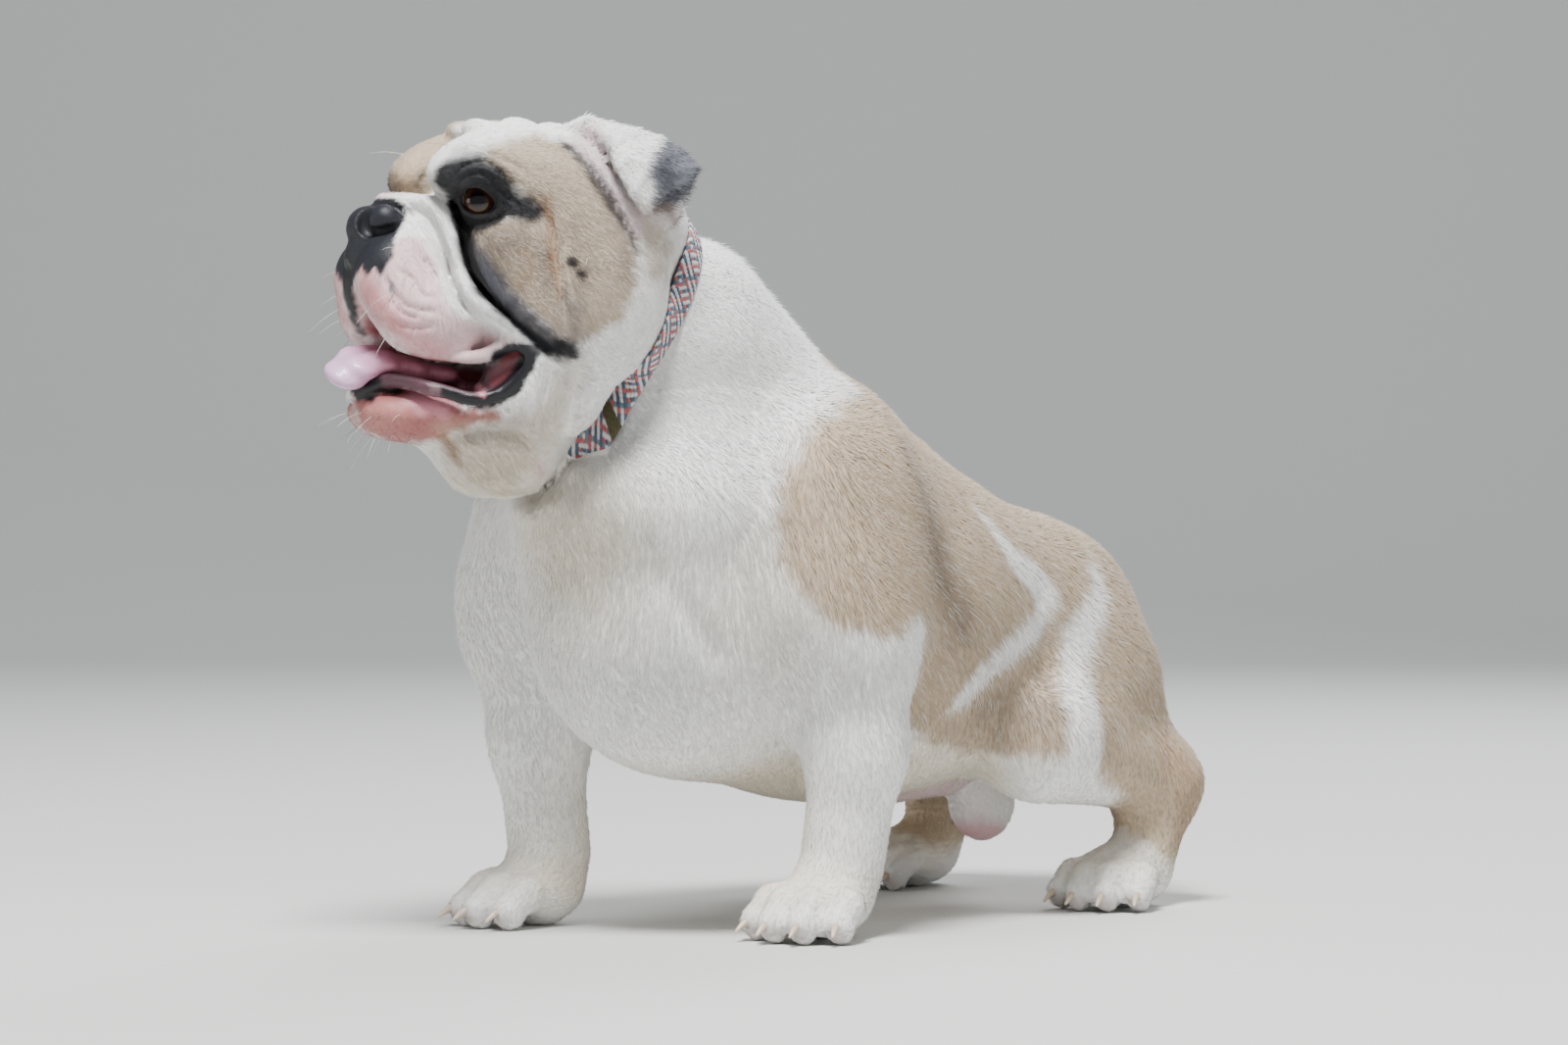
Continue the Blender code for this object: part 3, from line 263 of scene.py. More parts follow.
def from_side(points: Array) -> Array:
    """Forward and up of head points, slid along the slanted side view to the plane of the cheek.

    Args:
        points: head points as rows of left, forward and up.

    Returns:
        Rows of forward and up, each moved by its distance from the plane times the view's slope.
    """
    return points[:, 1:] - (np.abs(points[:, :1]) - CHEEK_PLANE) * np.array(SIDE_SLOPE)


@dataclass
class Stroke(Rope):
    """Bent line drawn on the side of the head, with points given as forward and up."""

    side: int = 0

    def __post_init__(self) -> None:
        """Lay the line in the plane of the cheek."""
        self.points = [(0.0, *point) for point in self.points]
        super().__post_init__()
        self.flat_reach = self.reach + 20
        self.middle = self.middle + (CHEEK_PLANE, 0, 0)
        self.reach += 120

    def near(self, points: Array) -> tuple[Array, Array]:
        """Nearest stretch of the line in the side view; far away on the other side of the head.

        Args:
            points: head points.

        Returns:
            The distance to the line, and how far along it, from 0 to 1.
        """
        flat = from_side(points)
        close = within(flat, self.middle[1:], self.flat_reach) & (self.side * points[:, 0] >= 0)
        gap, place = np.full(len(points), FAR), np.zeros(len(points))
        rows = np.column_stack([np.zeros(close.sum()), flat[close]])
        gap[close], place[close] = super().near(rows)
        return gap, place


@dataclass
class Leaf:
    """Thin three-cornered sheet with rounded edges, for the ears."""

    corners: Rows
    thickness: float
    blend: float = 1.0

    def __post_init__(self) -> None:
        """Keep the corners as an array."""
        self.rows = np.array(self.corners, float)
        self.middle = self.rows.mean(0)
        self.reach = float(np.linalg.norm(self.rows - self.middle, axis=1).max()) + self.thickness

    def distance(self, points: Array) -> Array:
        """Distance to the sheet less half its thickness.

        Args:
            points: places in millimetres.

        Returns:
            The distance of each.
        """
        a, b, c = self.rows
        normal = np.cross(b - a, c - a)
        inside = np.ones(len(points), bool)
        edge = np.full(len(points), FAR)
        for p, q in ((a, b), (b, c), (c, a)):
            inside &= (points - p) @ np.cross(q - p, normal) <= 0
            edge = np.minimum(edge, to_stretch(points, p, q)[0])
        flat = ((points - a) @ normal) ** 2 / (normal @ normal)
        return np.sqrt(np.where(inside, flat, edge)) - self.thickness / 2


Lobe = Egg | Rope | Stroke | Leaf


@dataclass
class Fold:
    """Line pressed into the skin (or raised, where the depth is negative), fading at both ends."""

    points: Rows
    width: float
    depth: float
    end: float = 0.15

    def __post_init__(self) -> None:
        """Lay the fold along a thin rope, or a stroke where its points are forward and up."""
        kind = Stroke if len(self.points[0]) == 2 else Rope
        self.rope = kind(self.points, [0.0] * len(self.points))
        self.reach = self.rope.reach + 3 * self.width

    def press(self, values: Array, points: Array) -> None:
        """Add depth times a bell curve of the distance from the line to the shape's values.

        Args:
            values: shape values, changed in place.
            points: where they are.
        """
        near = within(points, self.rope.middle, self.reach)
        if near.any():
            gap, place = self.rope.near(points[near])
            ends = np.clip(np.minimum(place, 1 - place) * 5 + self.end, 0, 1)
            values[near] += self.depth * np.exp(-(gap / self.width) ** 2) * ends


def soft_min(a: Array, b: Array, width: float) -> Array:
    """Lesser of two values, with a parabola of the given width rounding the join."""
    h = np.clip(0.5 + 0.5 * (b - a) / width, 0, 1)
    return b * (1 - h) + a * h - width * h * (1 - h)


def blend_in(values: Array, lobes: Sequence[Lobe], points: Array, sign: int = 1) -> None:
    """Join lobes to a shape's values, or take them out where sign is -1.

    Args:
        values: shape values, changed in place.
        lobes: what to join.
        points: where the values are.
        sign: 1 to join, -1 to take out.
    """
    for lobe in lobes:
        near = within(points, lobe.middle, lobe.reach + max(LOOK_AHEAD, lobe.blend))
        if near.any():
            mixed = soft_min(sign * values[near], lobe.distance(points[near]), lobe.blend)
            values[near] = sign * mixed


# The surface of a shape

@dataclass
class Lens:
    """Grid with even cells round a centre and growing ones past a radius.

    For a grid point u of length n, the place is centre + cell * u / n * (n + (n - core)^2 / growth),
    where the last part is left out inside the core.
    """

    centre: Array
    cell: float
    growth: float
    core_radius: float = 0.0

    def __post_init__(self) -> None:
        """Radius of the even part in grid steps."""
        self.core = self.core_radius / self.cell

    def place(self, u: Array) -> Array:
        """Points for grid coordinates.

        Args:
            u: grid coordinates.

        Returns:
            The places.
        """
        length = np.sqrt((u * u).sum(-1)) + TINY
        beyond = np.maximum(length - self.core, 0)
        return self.centre + u * (self.cell * (1 + beyond * beyond / self.growth / length))[..., None]

    def steps(self, length: float) -> float:
        """Grid steps that reach a length along an axis.

        Args:
            length: length from the centre.

        Returns:
            The number of steps, with its sign.
        """
        past = max(abs(length) / self.cell - self.core, 0)
        beyond = (math.sqrt(1 + 4 * past / self.growth) - 1) * self.growth / 2
        return math.copysign(min(abs(length) / self.cell, self.core) + beyond, length)

    def size(self, u: Array) -> Array:
        """Largest cell size at grid coordinates."""
        beyond = np.maximum(np.sqrt((u * u).sum(-1)) - self.core, 0)
        return self.cell * (1 + 2 * beyond / self.growth)


@dataclass
class SurfaceNet:
    """Closed surface of a shape: one point in each grid cell that the surface crosses."""

    shape: Shape
    lens: Lens
    chunk: int = 300000
    near_cells: float = 1.9
    pinch_cells: float = 0.1
    step_cells: float = 0.6
    settle: int = 2

    def sample(self, u: Array) -> Array:
        """Shape values at grid coordinates, a chunk at a time."""
        parts = [self.shape(self.lens.place(u[i:i + self.chunk])) for i in range(0, len(u), self.chunk)]
        return np.concatenate(parts)

    def values(self, low: Row, high: Row, coarse: int = 3) -> tuple[Array, Array]:
        """Shape values on the grid: everywhere coarsely, and finely near the surface.

        Args:
            low: lowest corner to cover.
            high: highest corner to cover.
            coarse: steps of the coarse grid.

        Returns:
            The values, and the grid coordinates of their first corner.
        """
        lens = self.lens
        start = np.array([math.floor(lens.steps(low[i] - lens.centre[i])) for i in range(3)])
        stop = np.array([math.ceil(lens.steps(high[i] - lens.centre[i])) for i in range(3)])
        count = ((stop - start) // coarse + 1) * coarse + 1
        marks = [start[i] + np.arange(0, count[i], coarse) for i in range(3)]
        u = np.stack(np.meshgrid(*marks, indexing="ij"), -1).reshape(-1, 3).astype(float)
        values = self.sample(u).reshape([len(m) for m in marks])
        sizes = lens.size(u).reshape(values.shape)
        for axis in range(3):
            pick = np.clip((np.arange(count[axis]) + coarse // 2) // coarse, 0, values.shape[axis] - 1)
            values = np.take(values, pick, axis=axis)
            sizes = np.take(sizes, pick, axis=axis)
        spots = np.argwhere(np.abs(values) < sizes * coarse * self.near_cells)
        values[tuple(spots.T)] = self.sample((spots + start).astype(float))
        return values, start

    def open_pinches(self, values: Array) -> None:
        """Fill grid faces whose corners alternate, where two sheets would share one edge.

        Args:
            values: shape values on the grid, changed in place.
        """
        for _ in range(8):
            inside = values < 0
            fill = np.zeros(inside.shape, bool)
            for a, b in ((0, 1), (0, 2), (1, 2)):
                corners = []
                for i, j in ((0, 0), (1, 0), (1, 1), (0, 1)):
                    part = [slice(None)] * 3
                    part[a] = slice(i, inside.shape[a] - 1 + i)
                    part[b] = slice(j, inside.shape[b] - 1 + j)
                    corners.append(tuple(part))
                s = [inside[c] for c in corners]
                cross = (s[0] == s[2]) & (s[1] == s[3]) & (s[0] != s[1])
                for c in corners:
                    fill[c] |= cross
            fill &= ~inside
            if not fill.any():
                return
            values[fill] = -self.lens.cell * self.pinch_cells

    @staticmethod
    def cell_points(values: Array, active: Array) -> Array:
        """Mean of the edge crossings of each active cell, in grid steps.

        Args:
            values: shape values on the grid.
            active: which cells the surface crosses.

        Returns:
            One point for each active cell.
        """
        base = np.argwhere(active)
        total = np.zeros((len(base), 3))
        hits = np.zeros(len(base))
        for axis in range(3):
            others = [a for a in range(3) if a != axis]
            for p in (0, 1):
                for q in (0, 1):
                    start = np.zeros(3, int)
                    start[others] = (p, q)
                    end = start.copy()
                    end[axis] = 1
                    a = base + start
                    va = values[tuple(a.T)]
                    vb = values[tuple((base + end).T)]
                    cross = (va < 0) != (vb < 0)
                    point = a.astype(float)
                    point[:, axis] += np.where(cross, va / np.where(cross, va - vb, 1), 0)
                    total += point * cross[:, None]
                    hits += cross
        return total / hits[:, None]

    @staticmethod
    def cell_faces(inside: Array, index: Array) -> Array:
        """Four-cornered faces between the cells round each crossed grid edge.

        Args:
            inside: which grid points are inside.
            index: number of each cell's point.

        Returns:
            Rows of four point numbers.
        """
        faces = []
        size = inside.shape
        for axis in range(3):
            o = [a for a in range(3) if a != axis]
            first, second = [slice(None)] * 3, [slice(None)] * 3
            first[axis], second[axis] = slice(0, -1), slice(1, None)
            change = np.argwhere(inside[tuple(first)] != inside[tuple(second)])
            low = (change[:, o[0]] > 0) & (change[:, o[1]] > 0)
            change = change[low & (change[:, o[0]] < size[o[0]] - 1) & (change[:, o[1]] < size[o[1]] - 1)]
            corners = []
            for p, q in ((0, 0), (1, 0), (1, 1), (0, 1)):
                cell = change.copy()
                cell[:, o] -= (p, q)
                corners.append(index[tuple(cell.T)])
            quad = np.stack(corners, 1)
            starts_in = inside[tuple(change.T)]
            flip = ~starts_in if axis != 1 else starts_in
            quad[flip] = quad[flip][:, ::-1]
            faces.append(quad)
        return np.concatenate(faces)

    def slope(self, points: Array, step: float = 0.4) -> Array:
        """Slope of the shape, from differences to both sides along each axis."""
        sides = np.eye(3) * step
        return np.stack([self.shape(points + s) - self.shape(points - s) for s in sides], -1) / (2 * step)

    def build(self, low: Row, high: Row) -> tuple[Array, Array]:
        """Work out the surface between two corners.

        Args:
            low: lowest corner.
            high: highest corner.

        Returns:
            Points in millimetres and four-cornered faces.
        """
        values, start = self.values(low, high)
        self.open_pinches(values)
        inside = values < 0
        cells = np.array(values.shape) - 1
        corners = [(i, j, k) for i in (0, 1) for j in (0, 1) for k in (0, 1)]
        full = sum(
            inside[i:i + cells[0], j:j + cells[1], k:k + cells[2]].astype(np.int8) for i, j, k in corners
        )
        active = (full > 0) & (full < 8)
        index = np.full(cells, -1)
        index[active] = np.arange(active.sum())
        points = self.lens.place(self.cell_points(values, active) + start)
        for _ in range(self.settle):
            g = self.slope(points)
            step = self.shape(points)[:, None] * g / ((g * g).sum(-1)[:, None] + TINY)
            length = np.linalg.norm(step, axis=1, keepdims=True)
            points = points - step * np.minimum(1, self.lens.cell * self.step_cells / (length + TINY))
        return points, self.cell_faces(inside, index)


# The dog's form

MOUTH_LINE = [(0, 40, -82), (0, 76, -80), (0, 112, -84)]
GAP_LINE = [(20, 98, -85), (34, 82, -86), (46, 69, -87), (54, 56, -87), (61, 45, -84), (66, 38, -77), (70, 31, -71)]
NOSTRIL_LINE = [(13, 131, 12), (12, 131, 6), (13, 128, 0), (18, 123, -2), (24, 116, 1), (28, 110, 6)]


@dataclass
class HeadForm:
    """The head: skull, muzzle, lips, jaw, lids, ears and folds, in its own frame, the same on both sides."""

    centre: Row = (-25, -270, 450)
    yaw: float = 22.0
    pitch: float = 10.0
    eye: Row = (40, 60.5, 29)
    eye_radius: float = 15.0
    lid_radius: float = 17.2
    eye_turn: float = 50.0
    socket_slack: float = 0.4
    ear_join: float = 5.0
    middle_round: float = 1.0

    def __post_init__(self) -> None:
        """Make the lobes and folds."""
        yaw, pitch = math.radians(self.yaw), math.radians(self.pitch)
        level = np.array([-math.sin(yaw), -math.cos(yaw), 0])
        up = np.array([0, 0, 1.0])
        self.axes = np.stack([
            np.array([math.cos(yaw), -math.sin(yaw), 0]),
            level * math.cos(pitch) + up * math.sin(pitch),
            -level * math.sin(pitch) + up * math.cos(pitch),
        ])
        self.middle = np.array(self.centre, float)
        self.flesh = self.skull() + self.jaw() + self.throat() + self.muzzle() + self.lips()
        self.folds = self.deep_folds() + self.fine_folds()
        self.lid_mound = [Egg(self.eye, [self.eye_radius + 2.8] * 3, 6)]
        turn = self.eye_turn
        self.opening = [Egg(self.eye_point(turn, -2, self.lid_radius), (15.0, 10, 9.0), 2, (0, 0, -turn))]
        self.sockets = [Egg(self.eye, [self.eye_radius - self.socket_slack] * 3, 0.3)]
        self.lids = self.lid_rims()
        self.hollows = self.mouth() + self.nostril()
        self.ears = self.ear()

    def outward(self, point: Row) -> Array:
        """Head point as a place in the design frame."""
        return self.middle + np.array(point, float) @ self.axes

    def inward(self, points: Array) -> Array:
        """Places in the design frame as head points."""
        return (points - self.middle) @ self.axes.T

    def eye_point(self, azimuth: float, height: float, radius: float) -> Array:
        """Point on a ball round the eye; azimuth in degrees from straight ahead to the side.

        Args:
            azimuth: degrees from straight ahead to the side.
            height: degrees above level.
            radius: radius of the ball.

        Returns:
            The head point.
        """
        a, e = math.radians(azimuth), math.radians(height)
        way = np.array([math.sin(a) * math.cos(e), math.cos(a) * math.cos(e), math.sin(e)])
        return np.array(self.eye) + radius * way

    def skull(self) -> list[Lobe]:
        """Domed skull, heavy brows, forehead bumps, temples, wide cheeks and the broad short upper jaw.

        Returns:
            The lobes.
        """
        return [
            Egg((0, -15, 30), (76, 85, 62), 20),
            Egg((20, 34, 56), (32, 38, 32), 18),
            Egg((36, 58, 53), (32, 45, 26), 14, (-22, 0, 0)),
            Egg((45, 62, 46), (25, 23, 12), 9),
            Egg((14, 62, 78), (14, 12, 8), 6),
            Egg((16, 38, 84), (17, 11, 7), 6),
            Egg((20, 12, 86), (17, 12, 7), 6),
            Egg((60, 10, 42), (30, 48, 36), 25),
            Egg((59, -8, -22), (43, 62, 62), 30),
            Egg((49, 41, 0), (31, 24, 25), 20),
            Egg((0, 78, -10), (42, 44, 42), 12),
        ]

    def muzzle(self) -> list[Lobe]:
        """Roll over the nose and down the cheek, the ridge behind it, hanging flews, nose pad and wings.

        Returns:
            The lobes.
        """
        roll = [(0, 114, 19), (14, 107, 20), (24, 94, 22), (32, 86, 14), (41, 79, -1), (50, 74, -17),
            (57, 65, -31), (64, 55, -41), (70, 44, -47)]
        ridge = [(50, 64, 8), (56, 57, -8), (63, 49, -21), (70, 38, -32), (77, 25, -42), (84, 12, -51),
            (88, 0, -57)]
        return [
            Rope(roll, [8, 8.5, 7.5, 8.5, 9, 9.5, 9.5, 9, 7], 6),
            Rope(ridge, [5, 6, 7, 7.5, 8, 8, 7], 6),
            Egg((20, 98, -28), (28, 35, 33), 12),
            Egg((33, 80, -50), (28, 41, 30), 12),
            Egg((0, 108, -12), (24, 22, 25), 8),
            Egg((0, 121, 2), (24, 16, 16), 5),
            Egg((17, 117, 8), (11, 12, 11), 3),
            Egg((0, 127, -18), (13, 9, 13), 5),
        ]

    def lips(self) -> list[Lobe]:
        """Rims of the hanging upper lip and of the lower lip that loops up at the corner.

        Returns:
            The lobes.
        """
        upper = [(5, 125, -32), (13, 118, -45), (23, 107, -58), (33, 91, -68), (42, 76, -75), (49, 62, -75),
            (56, 50, -71), (62, 42, -64), (68, 35, -57), (73, 27, -55)]
        lower = [(0, 114, -107), (14, 106, -101), (24, 99, -96), (36, 87, -96), (46, 79, -98), (52, 68, -98),
            (58, 57, -100), (62, 46, -98), (66, 36, -92), (69, 29, -83), (71, 27, -73), (71, 28, -64)]
        return [Rope(upper, [5.5] * 8 + [5.5, 5], 5), Rope(lower, [6] * 10 + [5.5, 5], 4)]

    def jaw(self) -> list[Lobe]:
        """Undershot lower jaw and its chin.

        Returns:
            The lobes.
        """
        return [
            Egg((0, 50, -112), (50, 52, 22), 12),
            Egg((0, 87, -117), (38, 27, 17), 8),
            Egg((48, 2, -85), (32, 42, 36), 22),
        ]

    def throat(self) -> list[Lobe]:
        """Dewlap: a full throat with hanging folds.

        Returns:
            The lobes.
        """
        return [
            Egg((0, 2, -118), (46, 52, 40), 18),
            Rope([(30, 34, -118), (20, 10, -146), (14, -14, -146)], [20, 17, 14], 10),
            Rope([(0, 42, -126), (2, 24, -143), (0, -8, -148)], [13, 14, 14], 12),
        ]

    def mouth(self) -> list[Lobe]:
        """Open mouth: the cavity, the side gap between the lips, the pouch at its corner and the front arch.

        Returns:
            The lobes to take out.
        """
        return [
            Rope(MOUTH_LINE, [21, 16, 12], 8),
            Rope(GAP_LINE, [5, 6, 7.5, 8.5, 8, 6.5, 4.5], 3),
            Rope([(0, 100, -62), (1, 116, -68), (1, 120, -84)], [8, 13, 15], 5),
        ]

    def nostril(self) -> list[Lobe]:
        """Comma-shaped nostril: open ahead, with a slit that curls back under the wing."""
        return [Rope(NOSTRIL_LINE, [2.5, 4, 4.5, 3.2, 2.4, 1.5], 2)]

    def lid_rims(self) -> list[Lobe]:
        """Upper and lower lid rims round the almond opening.

        Returns:
            The lobes.
        """
        upper = [(-10, 0), (-3, 14), (14, 29), (48, 32), (79, 20), (102, 0)]
        lower = [(-10, -4), (19, -30), (56, -41), (87, -28), (102, -4)]
        return [
            Rope([self.eye_point(a, e, self.lid_radius) for a, e in rim], [width] * len(rim), 2.5)
            for rim, width in ((upper, 3.0), (lower, 2.6))
        ]

    def ear(self) -> list[Lobe]:
        """Rose ear: the cup's front and back walls, and the flap folded over from the top line.

        Each wall is a strip of thin sheets between two rows of points.

        Returns:
            The sheets, and a filler between the flap and the cup.
        """
        fold = [(48, 16, 86), (60, 6, 94), (67, -8, 92), (70, -24, 92), (72, -40, 90), (74, -56, 85), (78, -67, 76)]
        brim = [(66, 2, 84), (74, 0, 82), (84, -3, 78), (90, -12, 70), (90, -30, 70), (86, -46, 70), (82, -64, 70)]
        edge = [(70, 0, 80), (80, -3, 77), (91, -8, 64), (96, -18, 50), (95, -30, 39), (90, -44, 53), (83, -62, 66)]
        root = [(50, 14, 66), (56, 6, 62), (64, -4, 54), (70, -17, 42), (75, -30, 31), (76, -48, 26), (74, -62, 42)]
        rear = [(46, 6, 74), (56, -8, 80), (60, -22, 80), (62, -36, 76), (62, -48, 70), (64, -58, 62),
            (72, -66, 58)]
        sheets = []
        for first, second in ((fold, brim), (brim, edge), (fold, root), (fold, rear)):
            for i in range(len(first) - 1):
                sheets.append((first[i], first[i + 1], second[i]))
                sheets.append((first[i + 1], second[i + 1], second[i]))
        seam = Rope([(63, -3, 80), (66, -9, 71), (69, -15, 62)], [6, 6, 5], 3)
        return [Leaf(s, 7.5, 1.5) for s in sheets] + [seam]

    def deep_folds(self) -> list[Fold]:
        """Deep fold under the eye, cheek and ear creases, lip cleft, forehead furrow and brow folds.

        Returns:
            The folds.
        """
        crease = [(90, 25), (85, 13), (80, 3), (75, -11), (69, -21), (61, -29), (53, -34), (42, -40), (30, -46),
            (19, -52), (7, -59), (-2, -63)]
        return [
            Fold(crease, 4.2, 6.5, 0.5),
            Fold([(119, 20), (101, 2), (90, -13), (80, -30), (71, -41), (64, -46)], 3.0, 4.4, 0.1),
            Fold([(111, 19), (97, 3), (86, -12), (76, -26)], 2.6, 2.6, 0.1),
            Fold([(26, 34), (18, 15), (12, -4), (4, -22), (-2, -42)], 3, 3, 0.1),
            Fold([(10, 20), (4, -4), (-4, -26)], 3, 2, 0.1),
            Fold([(22, 76), (8, 69), (-4, 58), (-17, 46), (-31, 31), (-46, 13)], 4.5, 4, 0.1),
            Fold([(5, -66), (5, -84), (6, -100), (8, -118)], 3.2, 3.5, 0.2),
            Fold([(-15, -62), (-14, -90), (-12, -120)], 5, 3.5, 0.1),
            Fold([(80, -130), (60, -124), (40, -118), (18, -118), (2, -128)], 5, 3, 0.1),
            Fold([(62, -128), (52, -140), (36, -152)], 4, 2.5, 0.1),
            Fold([(0, 132, -24), (0, 130, -42)], 3, 4, 0.5),
            Fold([(0, 40, 98), (0, 78, 88), (0, 98, 62), (0, 106, 40)], 8, 5, 0.3),
            Fold([(0, 128, 19), (14, 118, 18), (26, 108, 12)], 2.6, 3, 0.2),
            Fold([(0, 104, 32), (16, 100, 34), (32, 92, 30), (44, 84, 24)], 5, 4, 0.3),
        ]

    def fine_folds(self) -> list[Fold]:
        """Fine wrinkles of the muzzle, the lids and the forehead.

        Returns:
            The folds.
        """
        muzzle = [
            [(120, -27), (109, -32), (101, -40), (90, -41)],
            [(134, -27), (117, -46), (102, -50), (85, -49)],
            [(117, -62), (100, -62), (87, -57)],
            [(103, -16), (97, -23), (90, -31)],
            [(112, -8), (106, -18), (100, -28), (96, -38)],
            [(126, -44), (112, -54), (96, -56)],
        ]
        lids = [
            [(89, 33), (84, 41), (74, 45), (63, 41), (53, 34), (43, 29)],
            [(92, 39), (85, 48), (74, 52), (61, 48), (49, 38), (33, 31)],
            [(83, 16), (72, 13), (59, 17), (50, 25)],
        ]
        brow = [
            [(14, 60, 90), (40, 62, 84), (60, 44, 78)],
            [(10, 40, 96), (34, 36, 94), (56, 22, 86)],
            [(48, 84, 60), (66, 66, 56), (78, 44, 46)],
        ]
        return (
            [Fold(r, 2.0, 2.2, 0.1) for r in muzzle]
            + [Fold(r, 1.8, 2.0, 0.1) for r in lids]
            + [Fold(r, 3.5, 1.8, 0.1) for r in brow]
        )

    def shape(self, points: Array) -> Array:
        """Shape of the head for points in its own frame.

        Args:
            points: head points.

        Returns:
            The value of each, negative inside.
        """
        p = points.copy()
        p[:, 0] = np.sqrt(p[:, 0] ** 2 + self.middle_round)
        values = np.full(len(p), FAR)
        blend_in(values, self.flesh, p)
        for fold in self.folds:
            fold.press(values, p)
        blend_in(values, self.lid_mound, p)
        blend_in(values, self.opening, p, -1)
        blend_in(values, self.lids, p)
        blend_in(values, self.hollows, p, -1)
        ears = np.full(len(p), FAR)
        blend_in(ears, self.ears, p)
        return soft_min(values, ears, self.ear_join)


@dataclass
class Paw:
    """Paw with four splayed toes, pads below and a claw on each toe."""

    name: str
    side: int
    foot: Row
    heading: float
    scale: float
    toes: Rows = ((-28, 15, -16), (-10, 28, -5), (10, 28, 5), (28, 15, 16))

    def __post_init__(self) -> None:
        """Work out where the paw points."""
        turn = math.radians(self.heading)
        self.centre = np.array([*self.foot, 0.0])
        self.ahead = np.array([self.side * math.sin(turn), -math.cos(turn), 0])
        self.across = np.array([math.cos(turn), self.side * math.sin(turn), 0])
        self.level = math.degrees(math.atan2(self.across[1], self.across[0]))

    def toe(self, offset: float, forward: float, angle: float) -> tuple[Array, Array, Array, Array]:
        """Root, knuckle, tip and direction of one toe, for its offset across, its reach and its splay.

        Args:
            offset: place across the paw.
            forward: reach ahead.
            angle: splay in degrees.

        Returns:
            The four, as places and a direction.
        """
        k, turn = self.scale, math.radians(angle)
        way = self.ahead * math.cos(turn) + self.across * math.sin(turn)
        up = np.array([0, 0, 1.0])
        root = self.centre + k * (self.across * offset * 0.75 + self.ahead * 4 + up * 27)
        knuckle = self.centre + k * (self.across * offset + self.ahead * forward + way * 4 + up * 25.5)
        return root, knuckle, knuckle + k * (way * 16.5 - up * 11.5), way

    def lobes(self) -> list[Lobe]:
        """Palm, heel pad, toes and their pads.

        Returns:
            The lobes.
        """
        k, turn = self.scale, (0, 0, self.level)
        palm = self.centre - self.ahead * 4 * k + (0, 0, 26 * k)
        heel = self.centre - self.ahead * 6 * k + (0, 0, 8)
        out = [Egg(palm, (33 * k, 35 * k, 26 * k), 15, turn), Egg(heel, (17 * k, 15 * k, 10.5), 6, turn)]
        for spec in self.toes:
            root, knuckle, tip, way = self.toe(*spec)
            pad = np.array([tip[0], tip[1], 8]) - way * 3 * k
            out.append(Rope([root, knuckle], [13 * k, 14 * k], 8))
            out.append(Rope([knuckle, tip], [13.8 * k, 12.4 * k], 5))
            out.append(Egg(pad, (9 * k, 10.5 * k, 10), 4, turn))
        return out

    def claws(self) -> list[tuple[Array, Array]]:
        """Start and end point of each claw.

        Returns:
            A pair of places for each claw.
        """
        out = []
        for spec in self.toes:
            tip, way = self.toe(*spec)[2:]
            start = tip + way * 4 * self.scale + (0, 0, 1.5)
            out.append((start, start + way * 15.5 * self.scale - (0, 0, 7.5)))
        return out


